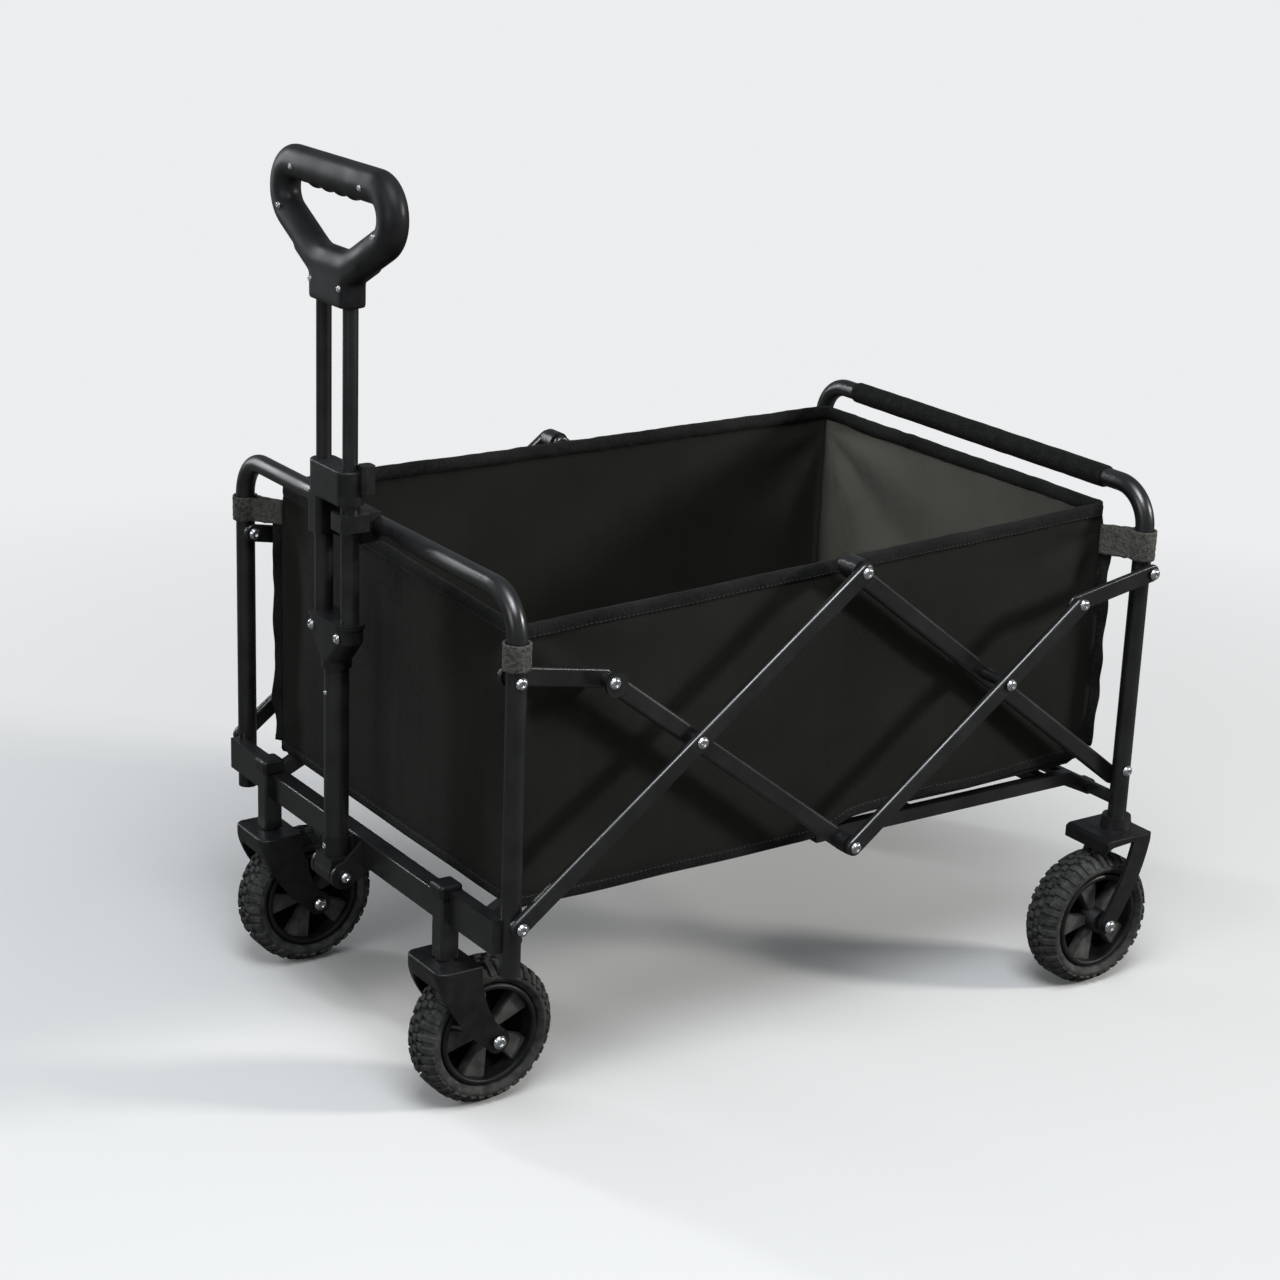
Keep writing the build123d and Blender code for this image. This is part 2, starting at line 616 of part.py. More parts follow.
with BuildPart() as castor_fork_left:
    upright((channel_back_x + crown_front_x) / 2, socket_y, fork_low_z, crown_top_z,
            crown_front_x - channel_back_x, 2 * leg_out, crown_corner_r)
    fillet(castor_fork_left.faces().sort_by(Axis.Z)[-1].edges(), 0.4 * crown_t)
    upright((channel_back_x + crown_front_x) / 2 - 2 * fork_end_r, socket_y, fork_low_z, crown_z,
            crown_front_x - channel_back_x + 4 * fork_end_r - 2 * fork_leg_t, 2 * fork_leg_gap,
            crown_corner_r - fork_leg_t, Mode.SUBTRACT)
    with BuildSketch(Plane.XZ.offset(-(socket_y + leg_out))):
        with BuildLine():
            back = ThreePointArc(
                (front_axle_x - fork_end_r, wheel_r),
                (front_axle_x + blade_hollow_x, wheel_r + blade_hollow_z),
                (crown_back_x, crown_z),
            )
            top = Line(back @ 1, (crown_back_x, crown_top_z))
            lid = Line(top @ 1, (crown_front_x, crown_top_z))
            front = Line(lid @ 1, (crown_front_x, crown_z))
            tip = ThreePointArc(
                front @ 1,
                (front_axle_x + blade_bulge_x, wheel_r + blade_bulge_z),
                (front_axle_x + 3, wheel_r - fork_end_r + 0.5),
            )
            Line(tip @ 1, back @ 0)
        make_face()
        with Locations((front_axle_x, wheel_r)):
            Circle(fork_end_r)
    extrude(amount=2 * leg_out, mode=Mode.INTERSECT)
    z_rod(socket_x, socket_y, crown_top_z, crown_top_z + socket_gap - side_play, washer_d)
    z_rod(socket_x, socket_y, crown_top_z, socket_top_z - 2, stem_d)
    y_rod(front_axle_x, wheel_r, socket_y - leg_out, socket_y + leg_out, axle_d)
    for side in (1, -1):
        y_near, y_far = sorted((socket_y + side * (hub_len / 2 + side_play), socket_y + side * fork_leg_gap))
        y_rod(front_axle_x, wheel_r, y_near, y_far, axle_head_d)
        y_near, y_far = sorted((socket_y + side * leg_out, socket_y + side * (leg_out + axle_head_t)))
        y_rod(front_axle_x, wheel_r, y_near, y_far, axle_head_d)
castor_fork_left.part.label = "castor_fork_left"

with BuildPart() as castor_fork_right:
    mirror(castor_fork_left.part, about=Plane.XZ)
castor_fork_right.part.label = "castor_fork_right"

# Rear fork: a collar on the post's foot, a crown and two straight legs that lean
# forward to the axle.
rear_crown_back_x = rear_x - crown_back
rear_crown_front_x = rear_x + rear_crown_front

with BuildPart() as rear_fork_left:
    block(rear_crown_back_x, rear_crown_front_x, post_y - leg_out, post_y + leg_out,
          crown_z, post_foot_z)
    fillet(rear_fork_left.edges().filter_by(Axis.Y).group_by(Axis.Z)[-1], 6.0)
    z_rod(rear_x, post_y, crown_z, post_foot_z + collar_h, collar_d)
    for y_out in (post_y + leg_out, post_y - fork_leg_gap):
        with BuildSketch(Plane.XZ.offset(-y_out)):
            with BuildLine():
                Polyline(
                    (rear_crown_back_x, crown_z + leg_root),
                    (rear_crown_back_x, crown_z - leg_root),
                    (rear_axle_x - rear_fork_end_r, wheel_r - 2),
                    (rear_axle_x + rear_fork_end_r * 0.8, wheel_r + rear_fork_end_r * 0.6),
                    (rear_crown_back_x + leg_top_w + leg_root, crown_z + leg_root),
                    close=True,
                )
            make_face()
            with Locations((rear_axle_x, wheel_r)):
                Circle(rear_fork_end_r)
        extrude(amount=fork_leg_t)
    z_rod(rear_x, post_y, post_foot_z, post_foot_z + collar_h + 1, tube_d + 2 * seat_play, Mode.SUBTRACT)
    y_rod(rear_axle_x, wheel_r, post_y - leg_out, post_y + leg_out, axle_d)
    for side in (1, -1):
        y_near, y_far = sorted((post_y + side * (hub_len / 2 + side_play), post_y + side * fork_leg_gap))
        y_rod(rear_axle_x, wheel_r, y_near, y_far, axle_head_d)
        y_near, y_far = sorted((post_y + side * leg_out, post_y + side * (leg_out + axle_head_t)))
        y_rod(rear_axle_x, wheel_r, y_near, y_far, axle_head_d)
rear_fork_left.part.label = "rear_fork_left"

with BuildPart() as rear_fork_right:
    mirror(rear_fork_left.part, about=Plane.XZ)
rear_fork_right.part.label = "rear_fork_right"

# ---------------------------------------------------------------------------
# Handle bracket: a plate under the cross tube with two lugs and the hinge pin.
handle_x = front_x + handle_ahead
hinge_x = front_x + hinge_ahead
cross_face_x = front_x + cross_ahead + cross_depth / 2
lug_in = foot_w / 2 + side_play + 1.6
lug_out = lug_in + lug_t

with BuildPart() as handle_bracket:
    block(cross_face_x - cross_depth, cross_face_x, -lug_out, lug_out, cross_low_z - lug_t, cross_low_z)
    for y_out in (lug_out, -lug_in):
        with BuildSketch(Plane.XZ.offset(-y_out)):
            with BuildLine():
                Polyline(
                    (cross_face_x - cross_depth, cross_low_z - lug_t),
                    (cross_face_x - cross_depth, cross_low_z),
                    (cross_face_x, cross_low_z),
                    (cross_face_x, cross_low_z + cross_h - 4),
                    (hinge_x, hinge_z + lug_reach),
                    (hinge_x, hinge_z - lug_reach),
                    close=True,
                )
            make_face()
            with Locations((hinge_x, hinge_z)):
                Circle(lug_reach)
        extrude(amount=lug_t)
    y_rod(hinge_x, hinge_z, -lug_out, lug_out, pin_d)
    y_rod(hinge_x, hinge_z, lug_out, lug_out + axle_head_t, axle_head_d)
    y_rod(hinge_x, hinge_z, -lug_out - axle_head_t, -lug_out, axle_head_d)
handle_bracket.part.label = "handle_bracket"

# Handle foot: a rounded tongue on the hinge pin with a collar for the lower tube.
foot_top_z = handle_tube_foot_z + foot_collar_h

with BuildPart() as handle_foot:
    with BuildSketch(Plane.XZ.offset(-foot_w / 2)):
        with Locations((hinge_x, hinge_z)):
            Circle(foot_r)
        with BuildLine():
            Polyline(
                (hinge_x - foot_r, hinge_z),
                (handle_x - foot_collar_d / 2, handle_tube_foot_z),
                (handle_x + foot_collar_d / 2, handle_tube_foot_z),
                (hinge_x + foot_r, hinge_z),
                close=True,
            )
        make_face()
    extrude(amount=foot_w)
    z_rod(handle_x, 0, handle_tube_foot_z - 6, foot_top_z, foot_collar_d)
    z_rod(handle_x, 0, handle_tube_foot_z, foot_top_z + 1, handle_tube_d + 2 * seat_play, Mode.SUBTRACT)
    y_rod(hinge_x, hinge_z, -foot_w, foot_w, pin_d + 2 * pin_play, Mode.SUBTRACT)
handle_foot.part.label = "handle_foot"

with BuildPart() as handle_tube:
    z_rod(handle_x, 0, handle_tube_foot_z, joint_low_z + socket_depth, handle_tube_d)
    fillet(handle_tube.edges().filter_by(GeomType.CIRCLE), 1.0)
handle_tube.part.label = "handle_tube"

# Lower joint: from the single tube to the twin tubes.
joint_top_z = joint_low_z + joint_h
joint_half = pair_half + outer_tube_d / 2 + 2.5

with BuildPart() as handle_joint:
    waist_z = joint_low_z + joint_waist_h
    body_z = waist_z + joint_taper_h
    z_rod(handle_x, 0, joint_low_z, waist_z, joint_d + 2)
    with BuildSketch(Plane.XY.offset(waist_z)):
        with Locations((handle_x, 0)):
            RectangleRounded(joint_d, joint_d + 4, joint_d / 2 - 1)
    with BuildSketch(Plane.XY.offset(body_z)):
        with Locations((handle_x, 0)):
            RectangleRounded(joint_d, 2 * joint_half, joint_d / 2 - 1)
    loft()
    upright(handle_x, 0, body_z, joint_top_z, joint_d, 2 * joint_half, joint_d / 2 - 1)
    upright(handle_x, 0, joint_top_z - 3 * joint_lip, joint_top_z, joint_d + 2 * joint_lip,
            2 * (joint_half + joint_lip), joint_d / 2 - 1 + joint_lip)
    z_rod(handle_x, 0, joint_low_z - 1, joint_low_z + socket_depth,
          handle_tube_d + 2 * seat_play, Mode.SUBTRACT)
    for side in (1, -1):
        z_rod(handle_x, side * pair_half, joint_top_z - socket_depth, joint_top_z + 1,
              outer_tube_d + 2 * seat_play, Mode.SUBTRACT)
handle_joint.part.label = "handle_joint"

with BuildPart() as outer_tube_left:
    z_rod(handle_x, pair_half, joint_top_z - socket_depth, outer_top_z, outer_tube_d)
    z_rod(handle_x, pair_half, joint_top_z - socket_depth - 1, outer_top_z + 1,
          inner_tube_d + 2 * slide_play, Mode.SUBTRACT)
outer_tube_left.part.label = "outer_tube_left"

with BuildPart() as outer_tube_right:
    mirror(outer_tube_left.part, about=Plane.XZ)
outer_tube_right.part.label = "outer_tube_right"

# Rail clamp: a collar over the tops of the twin tubes, a web behind them down to a
# cradle on the front of the rail, a sleeve on one tube, a jaw on the other, a latch.
clamp_half = pair_half + clamp_side
collar_low_z = clamp_top_z - clamp_collar_h
sleeve_side = outer_tube_d + 2 * column_side
jaw_low_z = front_rail_z + jaw_rise

with BuildPart() as rail_clamp:
    upright(handle_x, 0, collar_low_z, clamp_top_z, clamp_d, 2 * clamp_half, clamp_d / 2 - 1)
    fillet(rail_clamp.faces().sort_by(Axis.Z)[-1].edges(), 2.0)
    upright(handle_x, -pair_half, collar_low_z - column_h, collar_low_z, clamp_d - 2, sleeve_side - 2, 6.0)
    upright(handle_x, pair_half + 1, jaw_low_z, jaw_low_z + jaw_h, clamp_d + 3, sleeve_side + 2, 5.0)
    block(handle_x - clamp_d / 2, handle_x - clamp_d / 2 + web_d, -cradle_w / 2, cradle_w / 2,
          front_rail_z - cradle_h / 2, collar_low_z)
    block(front_x, handle_x - clamp_d / 2 + web_d, -cradle_w / 2, cradle_w / 2,
          front_rail_z - cradle_h / 2, front_rail_z + cradle_h / 2)
    y_rod(front_x, front_rail_z, -cradle_w, cradle_w, tube_d + 2 * cradle_play, Mode.SUBTRACT)
    upright(handle_x - clamp_d / 2 + 2, clamp_half - 2, clamp_top_z - latch_h, clamp_top_z + 6,
            latch_l, latch_l, 4.0)
    for side in (1, -1):
        z_rod(handle_x, side * pair_half, clamp_low_z - 30, outer_top_z,
              outer_tube_d + 2 * seat_play, Mode.SUBTRACT)
        z_rod(handle_x, side * pair_half, outer_top_z, clamp_top_z + 8,
              inner_tube_d + 2 * cradle_play, Mode.SUBTRACT)
rail_clamp.part.label = "rail_clamp"

# Inner tubes and grip slide down into the outer tubes.
with BuildPart() as inner_tube_left:
    z_rod(handle_x, pair_half, inner_foot_z, grip_low_z + socket_depth, inner_tube_d)
inner_tube_left.part.label = "inner_tube_left"

with BuildPart() as inner_tube_right:
    mirror(inner_tube_left.part, about=Plane.XZ)
inner_tube_right.part.label = "inner_tube_right"

neck_half = pair_half + neck_side
corner_r = 0.62 * grip_top_rise
base_r = min(grip_base_r, 2 * grip_bottom_half)

# The grip is drawn about the foot of its neck, then set at the end of the tubes. Its
# neck follows the outer edge of the ring's slanted sides.
ring_bottom = grip_base_rise
ring_side = ring_bottom + grip_slant_rise
ring_top = ring_side + grip_top_rise
slant = grip_slant_rise / (grip_half - grip_bottom_half)
edge_half = grip_w / 2 - 0.6
edge_z = ring_bottom + slant * (neck_half - grip_bottom_half) - edge_half * hypot(1, slant)
flare_z = edge_z + slant * neck_flare

with BuildPart() as grip_shape:
    with BuildSketch(Plane.YZ.offset(-neck_d / 2)) as neck:
        with BuildLine():
            Polyline(
                (-neck_half, 0),
                (neck_half, 0),
                (neck_half, edge_z),
                (neck_half + neck_flare, flare_z),
                (neck_half + neck_flare - 8, flare_z + edge_half * 0.9),
                (grip_bottom_half - 4, ring_bottom + 6),
                (-grip_bottom_half + 4, ring_bottom + 6),
                (-neck_half - neck_flare + 8, flare_z + edge_half * 0.9),
                (-neck_half - neck_flare, flare_z),
                (-neck_half, edge_z),
                close=True,
            )
        make_face()
        fillet(neck.vertices().filter_by(
            lambda v: abs(v.Z - edge_z) < 0.1 and abs(abs(v.Y) - neck_half) < 0.1), neck_fillet_r)
    extrude(amount=neck_d)
    fillet(grip_shape.edges().filter_by(Plane.YZ).filter_by(
        lambda e: abs(e.center().Y) > neck_half - 1 and e.center().Z < (edge_z + flare_z) / 2 + 4), neck_round)
    with BuildLine(Plane.YZ) as grip_path:
        grip_line = FilletPolyline(
            (grip_half, ring_top),
            (grip_half, ring_side),
            (grip_bottom_half, ring_bottom),
            (-grip_bottom_half, ring_bottom),
            (-grip_half, ring_side),
            (-grip_half, ring_top),
            radius=[corner_r, corner_r, base_r, base_r, corner_r, corner_r],
            close=True,
        )
    with BuildSketch(Plane(grip_line @ 0, x_dir=(1, 0, 0), z_dir=grip_line % 0)):
        Ellipse(grip_d / 2, grip_w / 2)
    sweep(path=grip_path.wires()[0])
    with Locations(*[(0, ridge_pitch * (i - 1.5), ring_top - grip_w / 2 + ridge_r - ridge_drop) for i in range(4)]):
        Sphere(ridge_r)
    for side in (1, -1):
        z_rod(0, side * pair_half, -1, socket_depth, inner_tube_d + 2 * seat_play, Mode.SUBTRACT)

with BuildPart() as grip:
    with Locations((handle_x, 0, grip_low_z)):
        add(grip_shape.part)
grip.part.label = "grip"

# ---------------------------------------------------------------------------
# Strap sleeves round the posts and foam on the rear rail.
sleeve_in_d = tube_d + 2 * sleeve_play
sleeve_out_d = sleeve_in_d + 2 * sleeve_t


def make_sleeve(x, z_low, height):
    """A soft ring round the left post."""
    with BuildPart() as ring:
        z_rod(x, post_y, z_low, z_low + height, sleeve_out_d)
        z_rod(x, post_y, z_low - 1, z_low + height + 1, sleeve_in_d, Mode.SUBTRACT)
    return ring.part


with BuildPart() as front_sleeve_left:
    add(make_sleeve(front_x, front_sleeve_z, front_sleeve_h))
front_sleeve_left.part.label = "front_sleeve_left"

with BuildPart() as front_sleeve_right:
    mirror(front_sleeve_left.part, about=Plane.XZ)
front_sleeve_right.part.label = "front_sleeve_right"

with BuildPart() as rear_sleeve_left:
    add(make_sleeve(rear_x, rear_sleeve_z, rear_sleeve_h))
rear_sleeve_left.part.label = "rear_sleeve_left"

with BuildPart() as rear_sleeve_right:
    mirror(rear_sleeve_left.part, about=Plane.XZ)
rear_sleeve_right.part.label = "rear_sleeve_right"

with BuildPart() as rail_foam:
    y_rod(rear_x, rear_rail_z, -foam_len / 2, foam_len / 2, tube_d + 2 * foam_play + 2 * foam_t)
    y_rod(rear_x, rear_rail_z, -foam_len, foam_len, tube_d + 2 * foam_play, Mode.SUBTRACT)
rail_foam.part.label = "rail_foam"

# ---------------------------------------------------------------------------
# Bag: an open fabric box with a hem, and a strap at each corner that reaches its
# sleeve.
bag_low_z = floor_top_z + bag_lift
bag_h = bag_top_z - bag_low_z


def strap(x_sign, y_sign, z_low, height):
    """A corner strap in the bag being built, from the corner to the sleeve."""
    corner = (x_sign * (bag_len / 2 - strap_overlap), y_sign * (bag_w / 2 - strap_overlap))
    post = (x_sign * front_x, y_sign * post_y)
    reach = dist(corner, post) - sleeve_out_d / 2 - sleeve_play
    angle = degrees(atan2(post[1] - corner[1], post[0] - corner[0]))
    with Locations(Location((corner[0], corner[1], z_low + height / 2), (0, 0, angle))):
        Box(reach, strap_t, height, align=(Align.MIN, Align.CENTER, Align.CENTER))


with BuildPart() as bag:
    with BuildSketch(Plane.XY.offset(bag_low_z)):
        RectangleRounded(bag_len, bag_w, bag_corner_r)
    extrude(amount=bag_h)
    with BuildSketch(Plane.XY.offset(bag_top_z - hem_h)):
        RectangleRounded(bag_len + 2 * hem_t, bag_w + 2 * hem_t, bag_corner_r + hem_t)
    extrude(amount=hem_h)
    for x_sign in (1, -1):
        for y_sign in (1, -1):
            if x_sign > 0:
                strap(x_sign, y_sign, front_sleeve_z, front_sleeve_h)
            else:
                strap(x_sign, y_sign, rear_sleeve_z, rear_sleeve_h)
    with BuildSketch(Plane.XY.offset(bag_low_z + bag_floor_t)):
        RectangleRounded(bag_len - 2 * bag_wall, bag_w - 2 * bag_wall, bag_corner_r - bag_wall)
    extrude(amount=bag_h, mode=Mode.SUBTRACT)
bag.part.label = "bag"

# ---------------------------------------------------------------------------
pieces = [
    front_hoop, front_cross, front_pivot_tube, socket_cap_left, socket_cap_right,
    handle_bracket, front_sleeve_left, front_sleeve_right, bag,
    rear_hoop, rear_pivot_tube, rear_fork_left, rear_fork_right, rail_foam,
    rear_sleeve_left, rear_sleeve_right,
    long_front_left, long_front_right, long_rear_left, long_rear_right,
    cross_front_left, cross_front_right, cross_rear_left, cross_rear_right,
    link_front_left, link_front_right, link_rear_left, link_rear_right,
    floor_front, floor_rear,
    castor_fork_left, castor_fork_right,
    tyre_front_left, tyre_front_right, tyre_rear_left, tyre_rear_right,
    hub_front_left, hub_front_right, hub_rear_left, hub_rear_right,
    handle_foot, handle_tube, handle_joint, outer_tube_left, outer_tube_right,
    rail_clamp, inner_tube_left, inner_tube_right, grip,
]
for piece in pieces:
    export_step(piece.part, f"parts/{piece.part.label}.step")
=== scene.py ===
# %% [markdown]
# # A folding garden wagon
# The wagon is two bent-tube hoops with a scissor linkage between them, a bag that
# hangs inside, two swivelling wheels in front, two fixed ones behind and a
# telescopic pull handle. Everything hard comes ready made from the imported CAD
# model, which is loaded as a fixed frame. Blender adds what CAD leaves out: cloth,
# webbing, tread, bolt heads and the finishes. All sizes are metres.

# %% Load the frame
import json
from math import atan2, cos, exp, hypot, pi, radians, sin

import bmesh
import bpy
import numpy as np
from mathutils import Matrix, Vector, noise


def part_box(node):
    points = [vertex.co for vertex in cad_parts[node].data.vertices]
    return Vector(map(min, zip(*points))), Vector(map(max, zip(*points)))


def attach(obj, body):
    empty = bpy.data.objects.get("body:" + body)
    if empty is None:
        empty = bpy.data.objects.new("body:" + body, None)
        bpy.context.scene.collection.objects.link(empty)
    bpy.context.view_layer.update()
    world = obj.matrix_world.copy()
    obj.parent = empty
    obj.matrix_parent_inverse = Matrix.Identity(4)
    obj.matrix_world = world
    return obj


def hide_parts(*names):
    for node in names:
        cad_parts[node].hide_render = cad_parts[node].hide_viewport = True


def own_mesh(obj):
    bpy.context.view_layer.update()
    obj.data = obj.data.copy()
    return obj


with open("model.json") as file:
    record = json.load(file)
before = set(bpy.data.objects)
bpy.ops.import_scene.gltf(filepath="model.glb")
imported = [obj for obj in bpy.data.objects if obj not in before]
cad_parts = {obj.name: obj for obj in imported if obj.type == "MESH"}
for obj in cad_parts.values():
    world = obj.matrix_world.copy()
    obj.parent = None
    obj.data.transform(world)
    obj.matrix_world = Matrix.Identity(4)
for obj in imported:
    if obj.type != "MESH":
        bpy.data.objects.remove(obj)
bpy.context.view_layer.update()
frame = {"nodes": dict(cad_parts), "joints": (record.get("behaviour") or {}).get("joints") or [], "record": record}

mm = 0.001
node = frame["nodes"]
pivot = {j["name"]: Vector(j["pos_m"]) for j in frame["joints"] if "pos_m" in j}
left_right, front_rear = (("left", 1), ("right", -1)), (("front", 1), ("rear", -1))

# %% [markdown]
# ## Finishes
# Every finish is a Principled shader whose colour, roughness and relief come from
# procedural textures. The textures read Object coordinates, which are metres from
# the wagon's origin, so a scale of 1/size gives spots of that size. Cloth and
# webbing read their own UV map, laid out in metres along and across the strip, so
# the weave follows the cloth round corners.

# %% Steps of a finish
def feed(tree, socket, value):
    """Links another node's output to the socket, or sets its number or colour."""
    if isinstance(value, bpy.types.NodeSocket):
        tree.links.new(value, socket)
    else:
        socket.default_value = value


def shade(tree, kind, output, inputs=None, **settings):
    """Adds a shader node with these settings, feeds its inputs and returns one of its outputs."""
    added = tree.nodes.new("ShaderNode" + kind)
    for setting, value in settings.items():
        setattr(added, setting, value)
    for socket, value in (inputs or {}).items():
        feed(tree, added.inputs[socket], value)
    return added.outputs[output]


def here(tree):
    """Object coordinates: metres from the wagon's origin."""
    return shade(tree, "TexCoord", "Object")


def spots(tree, size, detail):
    """Cloudy noise with spots of about that size."""
    return shade(tree, "TexNoise", "Fac", {"Scale": 1 / size, "Detail": detail, "Vector": here(tree)})


def between(tree, value, low, high, start=0.35, end=0.65):
    """Remaps a 0 to 1 pattern to low..high."""
    return shade(tree, "MapRange", "Result",
                 {"From Min": start, "From Max": end, "To Min": low, "To Max": high, "Value": value})


def tint(tree, value, dark, light, start=0.35, end=0.65):
    """A colour that goes from dark to light with a pattern."""
    colour = shade(tree, "ValToRGB", "Color", {"Fac": value})
    for stop, position, tone in zip(colour.node.color_ramp.elements, (start, end), (dark, light)):
        stop.position, stop.color = position, (*tone, 1)
    return colour


def relief(tree, height, depth, under=(0, 0, 0)):
    """A bump of that depth in metres, on top of another bump if under gives one."""
    return shade(tree, "Bump", "Normal", {"Distance": depth, "Height": height, "Normal": under})


def mix_numbers(tree, kind, a, b):
    """One Math node on two patterns, or on a pattern and a number."""
    return shade(tree, "Math", "Value", {0: a, 1: b}, operation=kind)

# %% A finish
def inside(finish):
    """A finish's node tree and its shader."""
    return finish.node_tree, finish.node_tree.nodes["Principled BSDF"]


def make_finish(name, colour, roughness, specular=0.5, gloss=None, patches=None, grain=None, **numbers):
    """One colour and roughness, varied by spots of a size and detail: gloss goes on to low and high
    roughness, patches to dark and light colours, grain to a depth. Other numbers name their sockets."""
    finish = bpy.data.materials.new(name)
    finish.use_nodes = True
    tree, shader = inside(finish)
    finish.diffuse_color = (*colour, 1)
    numbers.update(Base_Color=(*colour, 1), Roughness=roughness, Specular_IOR_Level=specular)
    for pattern, remap, socket in ((gloss, between, "Roughness"), (patches, tint, "Base_Color"),
                                   (grain, relief, "Normal")):
        if pattern:
            size, detail, *ends = pattern
            numbers[socket] = remap(tree, spots(tree, size, detail), *ends)
    for socket, value in numbers.items():
        feed(tree, shader.inputs[socket.replace("_", " ")], value)
    return finish

# %% [markdown]
# ### Powder coat
# The tubes and bars wear a glossy black powder coat. It melts in the oven into a
# skin with a faint orange peel, about 2 mm from crest to crest, and its gloss
# changes a little from place to place, where hands and dust have been.

# %% Powder coat
powder_coat = make_finish(
    "powder_coat", (0.006, 0.006, 0.0065), 0.26, specular=0.6, gloss=(0.06, 3, 0.25, 0.40),
    patches=(0.035, 4, (0.0045, 0.0045, 0.005), (0.0095, 0.0095, 0.010)), grain=(0.0022, 1, 0.00002))

# %% [markdown]
# ### Moulded plastics
# Forks, hubs, sockets, clamp and handle joints are satin black plastic out of a
# spark-eroded mould, so they carry a fine even grain. The hubs' blades are painted
# paler, as painted light where the lamps catch them, and the web behind them is
# painted near black, as painted shade in the deep pockets. The grip is polished:
# almost no grain, with soft hand marks in its gloss.

# %% Satin plastic, painted light and shade for the hubs, and grip plastic
satin_plastic = make_finish(
    "satin_plastic", (0.009, 0.009, 0.0095), 0.45, specular=0.34, gloss=(0.03, 3, 0.36, 0.52),
    patches=(0.012, 4, (0.0065, 0.0065, 0.007), (0.013, 0.013, 0.0135)), grain=(0.0009, 2, 0.00008))
# The blades' paler colour is painted light: they are the same satin plastic as the rim, shown lit where the lamps
# catch them.
hub_blade_plastic = make_finish(
    "hub_blade_plastic", (0.03, 0.03, 0.028), 0.5, specular=0.34,
    patches=(0.012, 4, (0.05, 0.05, 0.047), (0.105, 0.105, 0.098)), grain=(0.0009, 2, 0.0001))
# The web's near black is painted shade: the shade that fills the deep pockets between the blades.
hub_web_plastic = make_finish(
    "hub_web_plastic", (0.0015, 0.0015, 0.0015), 0.75, specular=0.1,
    patches=(0.02, 3, (0.001, 0.001, 0.001), (0.003, 0.003, 0.003)))
grip_plastic = make_finish(
    "grip_plastic", (0.013, 0.013, 0.014), 0.34, specular=0.2, gloss=(0.025, 3, 0.36, 0.5),
    patches=(0.02, 3, (0.010, 0.010, 0.011), (0.018, 0.018, 0.019)), grain=(0.006, 1, 0.00006))

# %% [markdown]
# ### Rubber, foam and bright steel
# The tyres are matte black with a little dry dust in the rough places. The foam
# sleeve on the push rail shows its open cells as small pits, which a Voronoi
# texture gives as relief, with painted shade that darkens each pit. Bolt heads are
# zinc-plated, so they are the only bright spots.

# %% Tyre rubber, foam and zinc
tyre_rubber = make_finish(
    "tyre_rubber", (0.014, 0.014, 0.014), 0.8, specular=0.3, gloss=(0.02, 3, 0.68, 0.9),
    patches=(0.009, 5, (0.026, 0.027, 0.025), (0.074, 0.076, 0.071), 0.35, 0.7), grain=(0.0012, 3, 0.00015))
foam_skin = make_finish("foam_skin", (0.014, 0.014, 0.014), 0.85, specular=0.2, gloss=(0.015, 2, 0.75, 0.95))
tree, shader = inside(foam_skin)
pits = shade(tree, "TexVoronoi", "Distance", {"Scale": 1 / 0.0024, "Vector": here(tree)})
# The pits are painted darker: painted shade in each open cell, on top of their relief.
pit_shade = tint(tree, pits, (0.0015, 0.0015, 0.0015), (0.011, 0.011, 0.010), 0.1, 0.8)
feed(tree, shader.inputs["Base Color"], pit_shade)
feed(tree, shader.inputs["Normal"], relief(tree, pits, 0.0007))
zinc = make_finish(
    "zinc", (0.62, 0.63, 0.65), 0.28, gloss=(0.003, 2, 0.2, 0.4), Metallic=1.0,
    patches=(0.004, 3, (0.5, 0.51, 0.53), (0.72, 0.73, 0.74)), grain=(0.0008, 1, 0.00003))
thread = make_finish(
    "thread", (0.035, 0.035, 0.036), 0.6,
    patches=(0.002, 2, (0.02, 0.02, 0.02), (0.055, 0.055, 0.057)), grain=(0.0006, 1, 0.0001))

# %% [markdown]
# ### Cloth and webbing
# The bag is near-black woven polyester. Its weave is two sets of threads, one along
# each UV axis: the product of two sine waves stands high where one thread passes
# over the other. Binding and webbing are coarser, with a rough nap on them, so
# their threads are broken up with noise.

# %% Woven cloth
def threads(tree, pitch):
    """The height of a plain weave with that thread pitch, from the piece's UV map in metres."""
    lay = {"Vector": shade(tree, "UVMap", "UV", uv_map="cut")}
    runs = [shade(tree, "SeparateXYZ", axis, lay) for axis in "XY"]
    waves = [mix_numbers(tree, "SINE", mix_numbers(tree, "MULTIPLY", run, 2 * pi / pitch), 0.0) for run in runs]
    return between(tree, mix_numbers(tree, "MULTIPLY", *waves), 0.0, 1.0, -1.0, 1.0)


def woven(name, dark, light, pitch, depth, nap, nap_depth, sheen):
    cloth = make_finish(name, light, 0.85, specular=0.14, Sheen_Weight=sheen, Sheen_Roughness=0.45)
    tree, shader = inside(cloth)
    blotch, fibre = spots(tree, 0.09, 4), spots(tree, nap, 3)
    worn = mix_numbers(tree, "ADD", mix_numbers(tree, "MULTIPLY", blotch, 0.55),
                       mix_numbers(tree, "MULTIPLY", fibre, 0.45))
    weave = relief(tree, threads(tree, pitch), depth)
    feed(tree, shader.inputs["Base Color"], tint(tree, worn, dark, light, 0.38, 0.62))
    feed(tree, shader.inputs["Roughness"], between(tree, fibre, 0.72, 0.95))
    feed(tree, shader.inputs["Normal"], relief(tree, fibre, nap_depth, under=weave))
    return cloth


